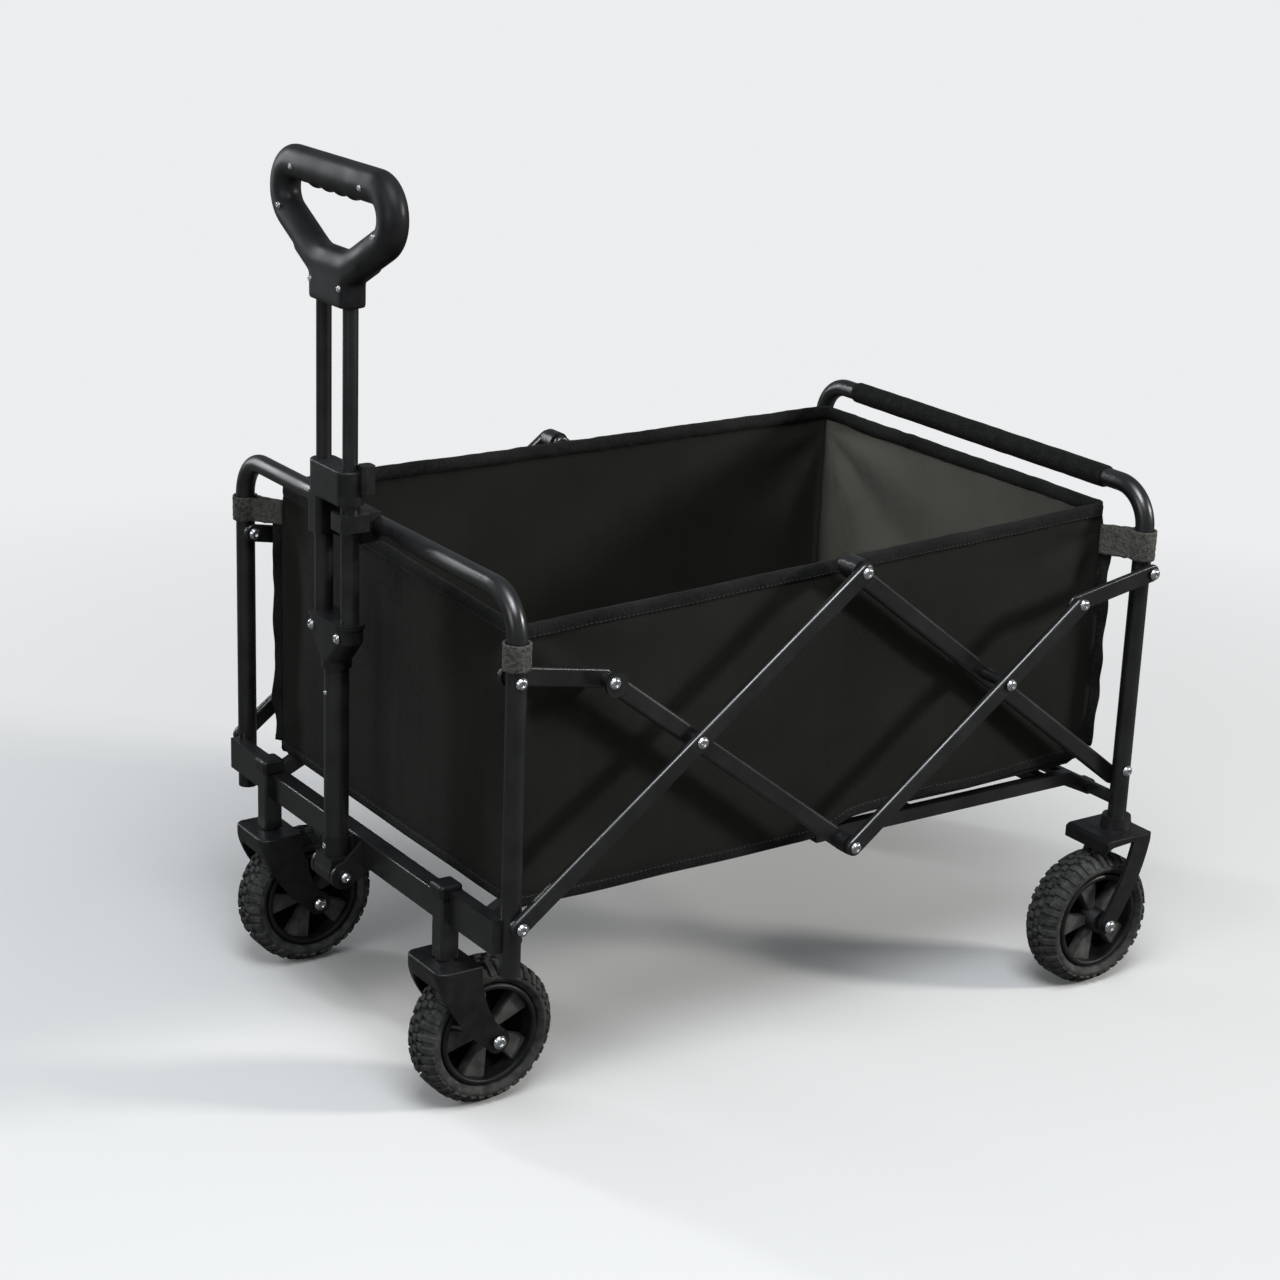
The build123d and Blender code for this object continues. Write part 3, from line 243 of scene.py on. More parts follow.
bag_cloth = woven("bag_cloth", (0.0115, 0.0115, 0.0092), (0.0175, 0.0175, 0.0144),
                  pitch=0.0011, depth=0.00012, nap=0.004, nap_depth=0.0002, sheen=0.02)
binding_tape = woven("binding_tape", (0.0025, 0.0025, 0.0025), (0.019, 0.019, 0.018),
                     pitch=0.0021, depth=0.0003, nap=0.0032, nap_depth=0.0012, sheen=0.04)
webbing = woven("webbing", (0.008, 0.008, 0.008), (0.115, 0.110, 0.100),
                pitch=0.0024, depth=0.0004, nap=0.0036, nap_depth=0.0022, sheen=0.12)
print("finishes", [m.name for m in bpy.data.materials])

# %% [markdown]
# ## Dress the CAD parts
# The hard parts keep their CAD meshes. Each gets the finish of its material slot.

# %% Give each CAD part its finish
finish_of_slot = {"painted_frame": powder_coat, "black_plastic": satin_plastic, "grip_plastic": grip_plastic,
                  "tyre": tyre_rubber, "foam": foam_skin, "bag_fabric": bag_cloth, "strap_fabric": webbing}
for part in frame["record"]["subparts"]:
    mesh = node[part["node"]].data
    mesh.materials.clear()
    mesh.materials.append(finish_of_slot[part["material_slot"]])

# %% [markdown]
# ## Making meshes
# Most new pieces are grids of points: a lathe is a grid round an axis, a strap is
# a grid along a path. One function turns rows of points into a quad mesh, and
# writes the UV map "cut" in metres, which the weaves read.

# %% Grid meshes
def put(name, data):
    """Puts a new object in the scene."""
    piece = bpy.data.objects.new(name, data)
    bpy.context.scene.collection.objects.link(piece)
    return piece


def grid_mesh(name, points, finish, closed_u=False, closed_v=False, cut=None):
    """points is an array [rows, columns, 3]; closed_u joins the last row to the first, closed_v the columns."""
    rows, columns = points.shape[:2]
    faces, corners = [], []
    for i in range(rows if closed_u else rows - 1):
        for j in range(columns if closed_v else columns - 1):
            a, b = (i + 1) % rows, (j + 1) % columns
            faces.append((i * columns + j, a * columns + j, a * columns + b, i * columns + b))
            corners += [(i, j), (i + 1, j), (i + 1, j + 1), (i, j + 1)]
    mesh = bpy.data.meshes.new(name)
    mesh.from_pydata(points.reshape(-1, 3).tolist(), [], faces)
    if cut is not None:
        along, across = cut
        lay = mesh.uv_layers.new(name="cut")
        lay.data.foreach_set("uv", np.array([(along[i], across[j]) for i, j in corners], np.float32).ravel())
    mesh.materials.append(finish)
    mesh.shade_smooth()
    return put(name, mesh)


def face_outwards(piece):
    """Merges doubles and turns all faces of a closed piece outwards."""
    shape = bmesh.new()
    shape.from_mesh(piece.data)
    bmesh.ops.remove_doubles(shape, verts=shape.verts, dist=1e-6)
    bmesh.ops.recalc_face_normals(shape, faces=shape.faces)
    shape.to_mesh(piece.data)
    shape.free()
    piece.data.shade_smooth()
    return piece


def settle(piece, *modifiers):
    """Applies modifiers, given as (kind, {setting: value}), and leaves a plain mesh."""
    for kind, settings in modifiers:
        step = piece.modifiers.new(kind.lower(), kind)
        for setting, value in settings.items():
            setattr(step, setting, value)
    seen = piece.evaluated_get(bpy.context.evaluated_depsgraph_get())
    mesh = bpy.data.meshes.new_from_object(seen)
    piece.modifiers.clear()
    piece.data = mesh
    return piece

# %% [markdown]
# ## The bag
# The real bag is one tube of cloth with a floor, bound along its rim, hung by its
# four corners. So the rim runs nearly straight from corner to corner, the walls
# hang from it with slack, and folds fan out from each corner strap. It is built
# as a closed loop of columns round the wagon, each column a line of points from
# the bottom seam to the rim, and every point is then pushed in or out by a sum of
# bulges, ripples and fans. Drawing the folds like this gives control over
# where they fall; a cloth simulation of so slack a bag drifts away from its frame.

# %% The bag's outline
post = sum(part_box("front_sleeve_left"), Vector()) / 2  # the middle of the left front post
bag_half_length, bag_half_width = post.x - 24 * mm, post.y - 36 * mm
bag_corner = 12 * mm
column_pitch = 6 * mm
floor_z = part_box("floor_front")[1].z


def outline(half_length, half_width, corner, pitch):
    """Points, outward directions and running length of a rounded rectangle, from the front left."""
    points, outward, run, arc = [], [], [0.0], 8
    centres = [Vector((sx * (half_length - corner), sy * (half_width - corner)))
               for sx, sy in ((1, 1), (-1, 1), (-1, -1), (1, -1))]
    for k, centre in enumerate(centres):
        for i in range(arc + 1):
            a = k * pi / 2 + pi / 2 * i / arc
            points.append(centre + corner * Vector((cos(a), sin(a))))
            outward.append((cos(a), sin(a)))
        first, last = points[-1], centres[(k + 1) % 4] + corner * Vector((cos(a), sin(a)))
        steps = int((last - first).length / pitch)
        for i in range(1, steps):
            points.append(first.lerp(last, i / steps))
            outward.append((cos(a), sin(a)))
    for a, b in zip(points, points[1:] + points[:1]):
        run.append(run[-1] + (b - a).length)
    return np.array([tuple(p) for p in points]), np.array(outward), np.array(run)


ring, ring_out, ring_run = outline(bag_half_length, bag_half_width, bag_corner, column_pitch)
print("bag outline:", len(ring), "columns,", round(float(ring_run[-1]), 3), "m round")

# %% [markdown]
# The rim dips a little towards the front left corner, where the strap pulls it
# down the post: its height is read between the four corners. The bottom seam hides
# the floor frame in front, and rides up over it in the rear half.

# %% Rim and bottom seam heights
rim_corners = (503, 532, 531, 524)  # mm; front left, rear left, rear right, front right
rim_sag = 3 * mm
seam_front, seam_step, seam_tail = 221, 19, 9  # mm
step_place, step_length = -24 * mm, 11 * mm


def between_corners(x, y, front_left, rear_left, rear_right, front_right):
    u = 0.5 + x / (2 * bag_half_length)
    v = 0.5 + y / (2 * bag_half_width)
    left = rear_left + (front_left - rear_left) * u
    right = rear_right + (front_right - rear_right) * u
    return right + (left - right) * v


def rim_height(x, y):
    flat = between_corners(x, y, *rim_corners) * mm
    slack = (1 - (x / bag_half_length) ** 2) * (1 - (y / bag_half_width) ** 2)
    wave = 1.1 * mm * noise.noise(Vector((x * 9, y * 9, 3.1)))
    wave += 0.5 * mm * noise.noise(Vector((x * 40, y * 40, 7.7)))
    return flat + wave - rim_sag * slack


def seam_height(x, y):
    rear_half = 1 / (1 + exp((x - step_place) / step_length))
    rear_end = max(0.0, -x / bag_half_length) ** 3
    wave = (1.0 + 1.4 * rear_half) * mm * noise.noise(Vector((x * 13, y * 13, 9.4)))
    return (seam_front + seam_step * rear_half + seam_tail * rear_end) * mm + wave

# %% How far each point of a wall stands out
fan_top, fan_foot = 0.505, 0.235  # heights that the folds of a corner fan out from


def fan(away, down, reach, folds, phase):
    """Folds that fan out from a point of a corner, this far away along the wall and down from it."""
    r = hypot(away, down)
    angle = atan2(down, away + 1e-6)
    return exp(-((r / reach) ** 2)) * min(1.0, r / (0.25 * reach)) * sin(folds * angle + phase)


def wall_push(x, y, out_x, out_y, t, height):
    """How far a wall point moves outwards; t is 0 at the bottom seam and 1 at the rim."""
    side = abs(out_y) > abs(out_x)
    along = x / bag_half_length if side else y / bag_half_width
    half = bag_half_length if side else bag_half_width
    full = sin(pi * min(1.0, t * 1.02)) ** 0.8 if 0 < t < 1 else 0.0
    bulge = (4.5 if side else 3.0) * mm * full * (1 - along ** 2)
    slow = 3.2 * mm * noise.noise(Vector((x * 5.5, y * 5.5, height * 4.2 + 11))) * full
    hang = x * 31 if side else y * 31
    ripple = 0.8 * mm * noise.noise(Vector((hang, 2.0, height * 3.5))) * full
    ripple += 0.45 * mm * noise.noise(Vector((hang * 2.6, 5.0, height * 5))) * full
    creases = 0.0
    for k, end in enumerate((1, -1)):
        away = (1 - end * along) * half
        pulled_hard = not side and out_x < 0 and end < 0  # the rear wall, at its right corner
        depth, reach, folds = (7.0, 0.30, 9.0) if pulled_hard else (3.2, 0.19, 7.0)
        phase = 0.6 + 1.9 * k + (0.8 if side else 0.0)
        creases += depth * mm * fan(away, fan_top - height, reach, folds, phase)
        creases += 1.3 * mm * fan(away, height - fan_foot, 0.11, 6.0, 1.1 + k)
    near = 1 - exp(-((1 - abs(along)) * half / (10 * mm)) ** 2)
    return bulge + slow + ripple + creases * full ** 0.5 * near

# %% Walls of the bag
def thicken(piece, thickness, offset):
    """Gives a sheet its thickness: inwards for offset -1, outwards for 1, both ways for 0."""
    return settle(piece, ("SOLIDIFY", {"thickness": thickness, "offset": offset}))


rows = 50
drawn_in = 0.08  # share of the height over which the bottom seam draws the cloth in
walls = np.zeros((len(ring), rows + 1, 3))
for i, ((x, y), (out_x, out_y)) in enumerate(zip(ring, ring_out)):
    low, high = seam_height(x, y), rim_height(x, y)
    for j in range(rows + 1):
        t = j / rows
        z = low + (high - low) * t
        push = wall_push(x, y, out_x, out_y, t, z)
        if t < drawn_in:
            push -= 3 * mm * (1 - t / drawn_in) ** 2
        if abs(abs(out_x) - abs(out_y)) < 1e-6:  # the corner seam stands out as a pinch
            push += 5.5 * mm * min(1.0, (1 - t) * 9)
        walls[i, j] = (x + out_x * push, y + out_y * push, z)
rise = float(np.mean(walls[:, -1, 2] - walls[:, 0, 2]))
bag_walls = grid_mesh("bag_walls", walls, bag_cloth, closed_u=True,
                      cut=(ring_run, np.linspace(0, rise, rows + 1)))
thicken(bag_walls, 1.6 * mm, -1)
print("bag walls:", len(bag_walls.data.polygons), "faces")

# %% [markdown]
# The floor folds with the frame under it, so it is two panels, one on each half of
# the floor frame. Their edges turn up to meet the walls' bottom seam.

# %% Floor panels
turn_up = 26 * mm
floor_half_width = bag_half_width - 3.5 * mm


def floor_panel(name, x_from, x_to):
    xs = np.linspace(x_from, x_to, 44)
    ys = np.linspace(-floor_half_width, floor_half_width, 62)
    grid = np.zeros((len(xs), len(ys), 3))
    for i, x in enumerate(xs):
        for j, y in enumerate(ys):
            edge = min(bag_half_length - abs(x), bag_half_width - abs(y))
            lift = max(0.0, 1 - edge / turn_up) ** 2
            rest = floor_z + 1.2 * mm + 0.5 * mm * (1 + noise.noise(Vector((x * 14, y * 14, 1.5))))
            grid[i, j] = (x, y, max(rest, seam_height(x, y)) * lift + rest * (1 - lift))
    panel = grid_mesh(name, grid, bag_cloth, cut=(xs - xs[0], ys - ys[0]))
    return thicken(panel, 1.2 * mm, 1)


floor_cloth_front = floor_panel("floor_cloth_front", 0.15 * mm, bag_half_length - 3 * mm)
floor_cloth_rear = floor_panel("floor_cloth_rear", -bag_half_length + 3 * mm, -0.15 * mm)
print("floor panels:", [len(p.data.polygons) for p in (floor_cloth_front, floor_cloth_rear)], "faces")

# %% [markdown]
# ## Binding
# A tape 28 mm wide is folded over the rim and sewn down, and a narrower one covers
# the bottom seam. Each is a flat closed profile carried along the seam line. The
# profile's frame comes from the wall itself: outwards, and up along the wall.

# %% Binding along the rim and the bottom seam
def run_of(path):
    """How far along a path each of its points is."""
    return np.r_[0, np.cumsum(np.linalg.norm(np.diff(path, axis=0), axis=1))]


def tape(name, path, profile, wobble):
    """Carries a closed profile of (out, up) points in mm round the bag; wobble makes its edges uneven."""
    grid = np.zeros((len(path), len(profile), 3))
    for i, (p, o) in enumerate(zip(path, ring_out)):
        for j, (out, up) in enumerate(profile):
            ragged = wobble * noise.noise(Vector((i * 0.45, j * 1.7, 4.2)))
            out = out * mm + ragged
            grid[i, j] = (p[0] + o[0] * out, p[1] + o[1] * out, p[2] + up * mm + 0.6 * ragged)
    along = run_of(np.r_[path, path[:1]])
    sides = [hypot(b[0] - a[0], b[1] - a[1]) for a, b in zip(profile, profile[1:] + profile[:1])]
    across = mm * np.array([0] + sides).cumsum()
    return face_outwards(grid_mesh(name, grid, binding_tape, closed_u=True, closed_v=True, cut=(along, across)))


rim_path, seam_path = walls[:, -1], walls[:, 1]
rim_fold = [(-3.2, -13), (-3.9, -7), (-3.4, -0.5), (-2.0, 1.6), (-0.2, 1.8),
            (1.5, 0.4), (2.3, -4), (2.2, -9), (1.7, -13), (-0.8, -13.8)]
seam_fold = [(-2.6, -4.5), (-2.6, 5), (0.4, 8), (1.8, 6), (1.9, -3), (0, -6)]
rim_binding = tape("rim_binding", rim_path, rim_fold, 0.9 * mm)
seam_binding = tape("seam_binding", seam_path, seam_fold, 0.6 * mm)
print("binding faces:", len(rim_binding.data.polygons), len(seam_binding.data.polygons))

# %% [markdown]
# At the corners the two walls are sewn edge to edge, and the seam allowance stands
# out as a thin flap that ripples, because the thread gathers it.

# %% Corner flaps
flap_rows, flap_columns = 61, 7
flap_from, flap_to = 2, rows - 6  # the rows of the wall that it follows


def corner_flap(name, sx, sy):
    seam = Vector((sx * (bag_half_length - 3.5 * mm), sy * (bag_half_width - 3.5 * mm)))
    wall = walls[int(np.argmin(np.hypot(ring[:, 0] - seam.x, ring[:, 1] - seam.y)))]
    out, side = Vector((sx, sy)).normalized(), Vector((-sx, sy)).normalized()
    front = np.zeros((flap_rows, flap_columns, 3))
    for r in range(flap_rows):
        t = r / (flap_rows - 1)
        root = Vector(wall[int(round(flap_from + t * (flap_to - flap_from)))][:2])
        z = wall[flap_from, 2] + t * (wall[flap_to, 2] - wall[flap_from, 2])
        for c in range(flap_columns):
            reach = c / (flap_columns - 1)
            wave = reach * (3.6 * mm * sin(z * 78 + sx) + 2.6 * mm * noise.noise(Vector((z * 46, sx * 3, sy))))
            width = 9.5 * mm + 4.0 * mm * noise.noise(Vector((z * 30, 2 * sx, 5 * sy)))
            place = root + out * (reach * width - 1 * mm) + side * wave
            front[r, c] = (place.x, place.y, z)
    flap = grid_mesh(name, front, binding_tape,
                     cut=(np.linspace(0, 0.27, flap_rows), np.linspace(0, 9 * mm, flap_columns)))
    return thicken(flap, 1.5 * mm, 0)


flaps = [corner_flap(f"corner_flap_{a}_{b}", sx, sy) for a, sx in front_rear for b, sy in left_right]
print("corner flaps:", len(flaps))

# %% [markdown]
# ## Stitches
# Two rows of stitches hold the bindings. They repeat along a path, so Geometry
# Nodes make them: the path is resampled at the stitch pitch, and a small spindle
# is instanced on each point along the tangent. The tree's inputs are the path, the
# pitch, the spindle and its finish, and it ends in Realize Instances and Set
# Material. Those last steps are written once, because a second tree has them too.

# %% A tree that repeats a piece along a path
def wire(tree, *wires):
    """Links sockets; each wire is (node, output, node, input)."""
    for source, output, user, socket in wires:
        tree.links.new(source.outputs[output], user.inputs[socket])


def instancing_tree(name, **inputs):
    """Starts a tree that sets a piece on points, makes it real and paints it. Points come later."""
    tree = bpy.data.node_groups.new(name, "GeometryNodeTree")
    for socket, kind in {**inputs, "Piece": "Object", "Finish": "Material"}.items():
        tree.interface.new_socket(socket, in_out="INPUT", socket_type="NodeSocket" + kind)
    tree.interface.new_socket("Made", in_out="OUTPUT", socket_type="NodeSocketGeometry")
    given, piece, on, real, paint, made = map(tree.nodes.new, (
        "NodeGroupInput", "GeometryNodeObjectInfo", "GeometryNodeInstanceOnPoints",
        "GeometryNodeRealizeInstances", "GeometryNodeSetMaterial", "NodeGroupOutput"))
    wire(tree, (given, "Piece", piece, "Object"), (piece, "Geometry", on, "Instance"),
         (on, "Instances", real, "Geometry"), (real, "Geometry", paint, "Geometry"),
         (given, "Finish", paint, "Material"), (paint, "Geometry", made, "Made"))
    return tree, given, on


def repeat_along():
    """A tree that sets one piece at every pitch along a path, its X along the path."""
    tree, given, on = instancing_tree("repeat_along", Path="Geometry", Pitch="Float")
    line, even, way, turn = map(tree.nodes.new, (
        "GeometryNodeMeshToCurve", "GeometryNodeResampleCurve", "GeometryNodeInputTangent",
        "FunctionNodeAlignRotationToVector"))
    even.mode, turn.axis = "LENGTH", "X"
    wire(tree, (given, "Path", line, "Mesh"), (line, "Curve", even, "Curve"), (given, "Pitch", even, "Length"),
         (even, "Curve", on, "Points"), (way, "Tangent", turn, "Vector"), (turn, "Rotation", on, "Rotation"))
    return tree


def run_tree(name, tree, start, **values):
    """Puts a tree on the start mesh, sets its inputs by identifier, and keeps a plain mesh."""
    piece = put(name, start)
    step = piece.modifiers.new(name, "NODES")
    step.node_group = tree
    sockets = {s.name: s.identifier for s in tree.interface.items_tree if s.in_out == "INPUT"}
    for socket, value in values.items():
        step[sockets[socket]] = value
    settle(piece)
    piece.data.shade_smooth()
    return piece

# %% Stitches on the bindings
def angles(count):
    """The angles of that many even steps round a circle."""
    return [2 * pi * k / count for k in range(count)]


stitch_length, stitch_radius, stitch_pitch = 3.4 * mm, 0.4 * mm, 5.2 * mm
spindle = [[(x * stitch_length, r * stitch_radius * cos(a), r * stitch_radius * sin(a)) for a in angles(5)]
           for x, r in ((-0.5, 0.15), (-0.25, 0.85), (0, 1), (0.25, 0.85), (0.5, 0.15))]
stitch = grid_mesh("stitch_pattern", np.array(spindle), thread, closed_v=True)
bpy.context.scene.collection.objects.unlink(stitch)
repeat = repeat_along()
stitches = []
for name, path, out, up in (("rim_stitches", rim_path, 2.45 * mm, -10.5 * mm),
                            ("seam_stitches", seam_path, 2.0 * mm, 4.5 * mm)):
    points = np.c_[path[:, :2] + ring_out * out, path[:, 2] + up].tolist()
    line = bpy.data.meshes.new(name)
    line.from_pydata(points, [(i, (i + 1) % len(points)) for i in range(len(points))], [])
    stitches.append(run_tree(name, repeat, line, Pitch=stitch_pitch, Piece=stitch, Finish=thread))
print("stitch faces:", [len(s.data.polygons) for s in stitches])

# %% [markdown]
# ## Straps
# Each corner of the bag hangs from a loop of rough webbing. It leaves the corner
# seam, goes round the post and comes back beside itself, like the eye of a needle,
# and it stands for the plain sleeve of the CAD model.

# %% Corner straps
def stand_for(cad_node, piece, body):
    """The piece rides on the body and replaces the CAD node, which is hidden."""
    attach(piece, body)
    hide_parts(cad_node)
    print(piece.name, len(piece.data.polygons), "faces, for", cad_node, "on", body)


strap_rows = 15
loop_radius, loop_opening = 12.4 * mm, 27  # round the post's middle; degrees each side of the neck


def strap_loop(end, sx, b, sy):
    z_low, z_high = (corner.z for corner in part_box(f"{end}_sleeve_{b}"))
    centre = Vector((sx * post.x, sy * post.y))
    corner = Vector((sx * (bag_half_length - 2 * mm), sy * (bag_half_width - 2 * mm)))
    back = (corner - centre).normalized()
    start, side = atan2(back.y, back.x), Vector((-back.y, back.x))
    turn = [centre + loop_radius * Vector((cos(start + radians(a)), sin(start + radians(a))))
            for a in np.linspace(loop_opening, 360 - loop_opening, 40)]
    near, far = corner + side * 1.6 * mm, corner - side * 1.6 * mm
    path = [near.lerp(turn[0], s) for s in np.linspace(0, 0.93, 9)] + turn
    path += [turn[-1].lerp(far, s) for s in np.linspace(0.07, 1, 9)]
    path = np.array([tuple(p) for p in path])
    ahead = np.gradient(path, axis=0)
    ahead /= np.linalg.norm(ahead, axis=1)[:, None]
    heights = np.linspace(z_low, z_high, strap_rows)
    grid = np.zeros((len(path), strap_rows, 3))
    for i, ((x, y), (ahead_x, ahead_y)) in enumerate(zip(path, ahead)):
        for j, z in enumerate(heights):
            nap = 1.0 * mm * noise.noise(Vector((i * 0.9, j * 1.3, sx + 2 * sy)))
            fray = 1.3 * mm * noise.noise(Vector((i * 0.8, sx + j, sy))) * (j in (0, strap_rows - 1))
            grid[i, j] = (x + ahead_y * nap, y - ahead_x * nap, z + fray)
    run = run_of(path)
    loop = grid_mesh(f"{end}_strap_{b}", grid, webbing, cut=(run, heights - z_low))
    thicken(loop, 2 * mm, 0)
    stand_for(f"{end}_sleeve_{b}", loop, f"{end}_frame")


for b, sy in left_right:
    for end, sx in front_rear:
        strap_loop(end, sx, b, sy)

# %% [markdown]
# ## Foam sleeve
# The push rail wears a foam tube. It is a lathe along the rail, a little uneven
# along its length, with rolled ends.

# %% Foam on the push rail
def lathe_y(name, profile, centre, finish, sides, uneven=0.0):
    """Turns a closed profile of (radius, y) points about an axis along Y through centre."""
    grid = np.zeros((sides, len(profile), 3))
    for i, a in enumerate(angles(sides)):
        for j, (r, y) in enumerate(profile):
            r += uneven * noise.noise(Vector((cos(a) * 1.5, sin(a) * 1.5, y * 60)))
            grid[i, j] = (centre.x + r * cos(a), centre.y + y, centre.z + r * sin(a))
    return face_outwards(grid_mesh(name, grid, finish, closed_u=True, closed_v=True))


def both_sides(side):
    """A profile of (radius, y) points, and back along its mirror image."""
    return side + [(r, -y) for r, y in reversed(side)]


def measure(cad_node):
    """Centre, radius and half width of a part that is round about Y."""
    low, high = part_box(cad_node)
    return (low + high) / 2, (high.z - low.z) / 2, (high.y - low.y) / 2


rail, radius, half = measure("rail_foam")
skin = [(radius - 0.4 * mm, y) for y in np.linspace(-half + 3 * mm, half - 3 * mm, 90)]
rolled_end = [(radius - 0.9 * mm, half - 1.2 * mm), (radius - 1.6 * mm, half - 0.2 * mm),
              (radius - 2.4 * mm, half - 0.6 * mm)]
foam = lathe_y("push_rail_foam", skin + both_sides(rolled_end), rail, foam_skin, 40, uneven=0.35 * mm)
stand_for("rail_foam", foam, "rear_frame")

# %% [markdown]
# ## Tyres
# A tyre is a lathe for the carcass and blocks for the tread. The blocks repeat
# round the tyre in five rows: three in the middle, staggered, and one on each
# shoulder, whose blocks wrap down on to the side wall. Geometry Nodes instance one
# block a row, turned with the wheel.

# %% Tread blocks
def add_skin(shape, rings):
    """Adds quads between rings of points, with a cap on the first and the last."""
    rings = [[shape.verts.new(p) for p in points] for points in rings]
    for a, b in zip(rings, rings[1:]):
        for i in range(len(a)):
            j = (i + 1) % len(a)
            shape.faces.new((a[i], a[j], b[j], b[i]))
    shape.faces.new(list(reversed(rings[0])))
    shape.faces.new(rings[-1])
    bmesh.ops.recalc_face_normals(shape, faces=shape.faces)


def from_bmesh(name, shape, finish, in_scene=True):
    """Turns a bmesh into an object. A pattern for a tree isn't put in the scene."""
    mesh = bpy.data.meshes.new(name)
    shape.to_mesh(mesh)
    shape.free()
    mesh.materials.append(finish)
    return put(name, mesh) if in_scene else bpy.data.objects.new(name, mesh)


def tread_block(name, width, length, depth, bow):
    """A block with tapered sides, wrapped over the shoulder where bow isn't 0. Its foot is at z = 0."""
    shape, rings = bmesh.new(), []
    for v in (0, 1 / 3, 2 / 3, 1):
        y, drop, lean = (v - 0.5) * width, -bow * v ** 2, bow * 0.35 * v ** 3
        top = depth * (1 - 0.45 * v * (bow > 0))
        rings.append([(sx * length / 2 * k, y + (lean if up else 0), drop + up)
                      for sx, up, k in ((-1, 0, 1.0), (1, 0, 1.0), (1, top, 0.86), (-1, top, 0.86))])
    add_skin(shape, rings)
    sharp = [e for e in shape.edges if e.calc_face_angle(0) > 0.6]
    bmesh.ops.bevel(shape, geom=sharp, offset=0.5 * mm, segments=1, affect="EDGES")
    return from_bmesh(name, shape, tyre_rubber, in_scene=False)


middle_block = tread_block("middle_block", 6.6 * mm, 7.4 * mm, 3.4 * mm, 0.0)
shoulder_block = tread_block("shoulder_block", 10 * mm, 7.0 * mm, 3.4 * mm, 7 * mm)
print("tread blocks:", len(middle_block.data.polygons), len(shoulder_block.data.polygons), "faces")

# %% A tree that sets a piece on points
def set_on_points():
    """A tree that sets one piece on every point, its Z along the attribute up and its X along ahead."""
    tree, given, on = instancing_tree("set_on_points", Places="Geometry")
    stand, swing = map(tree.nodes.new, 2 * ["FunctionNodeAlignRotationToVector"])
    stand.axis, swing.axis, swing.pivot_axis = "Z", "X", "Z"
    for attribute, user, socket in (("up", stand, "Vector"), ("ahead", swing, "Vector"), ("size", on, "Scale")):
        reader = tree.nodes.new("GeometryNodeInputNamedAttribute")
        reader.data_type = "FLOAT_VECTOR"
        reader.inputs["Name"].default_value = attribute
        wire(tree, (reader, "Attribute", user, socket))
    wire(tree, (given, "Places", on, "Points"), (stand, "Rotation", swing, "Rotation"),
         (swing, "Rotation", on, "Rotation"))
    return tree


on_points = set_on_points()


def set_pieces(name, pattern, places):
    """Sets a pattern piece on places, each (point, up, ahead, size), as one mesh in its finish."""
    cloud = bpy.data.meshes.new(name)
    points, *directions = (np.array([tuple(v) for v in values], np.float32) for values in zip(*places))
    cloud.from_pydata(points.tolist(), [], [])
    for attribute, values in zip(("up", "ahead", "size"), directions):
        cloud.attributes.new(attribute, "FLOAT_VECTOR", "POINT").data.foreach_set("vector", values.ravel())
    return run_tree(name, on_points, cloud, Piece=pattern, Finish=pattern.data.materials[0])

# %% Tyres with their tread
wheels = [f"{end}_{b}" for end, _ in front_rear for b, _ in left_right]
blocks_round = 40
tread_rows = [(-8.4 * mm, middle_block), (0.0, middle_block), (8.4 * mm, middle_block),
              (-16.5 * mm, shoulder_block), (16.5 * mm, shoulder_block)]
bead, tread_depth = 54.4 * mm, 3.8 * mm


def join(whole, parts):
    """Merges the parts into the whole, which keeps its name."""
    with bpy.context.temp_override(active_object=whole, selected_editable_objects=[whole, *parts]):
        bpy.ops.object.join()


def make_tyre(wheel):
    centre, tip, half = measure(f"tyre_{wheel}")
    crown = tip - tread_depth
    side = [(bead, half - 7 * mm), (bead + 2 * mm, half - 3.4 * mm), (bead + 5 * mm, half - 1.6 * mm),
            (crown - 11 * mm, half - 0.8 * mm), (crown - 6.5 * mm, half - 2.2 * mm),
            (crown - 2.6 * mm, half - 6.5 * mm), (crown - 0.6 * mm, half - 12 * mm), (crown, half - 18 * mm)]
    tyre = lathe_y(f"tread_{wheel}", both_sides(side), centre, tyre_rubber, 96)
    rows_of_blocks = []
    for row, (y, block) in enumerate(tread_rows):
        middle, places = block is middle_block, []
        for k in range(blocks_round):
            a = 2 * pi * (k + 0.5 * (row % 2) + 0.12 * sin(2.4 * k + row)) / blocks_round
            up, ahead = Vector((cos(a), 0, sin(a))), Vector((sin(a), 0, -cos(a)))
            ahead = ahead if y >= 0 or middle else -ahead  # the shoulder block's wrapped end points outwards
            foot = centre + up * (crown - (0.2 if middle else 0.9) * mm) + Vector((0, y, 0))
            places.append((foot, up, ahead, (1, 1, 1)))
        rows_of_blocks.append(set_pieces(f"{tyre.name}_row{row}", block, places))
        rows_of_blocks[-1].data.shade_flat()
    join(tyre, rows_of_blocks)
    stand_for(f"tyre_{wheel}", tyre, f"wheel_{wheel}")


for wheel in wheels:
    make_tyre(wheel)

# %% [markdown]
# ## The grip's skin
# The grip is blow-moulded in one, so its ring flows into the neck without a seam.
# The CAD solid is exact but meets in creases. A copy of its mesh is closed, rebuilt
# in even cells of 1.5 mm and relaxed, which rolls every crease into a soft hollow.

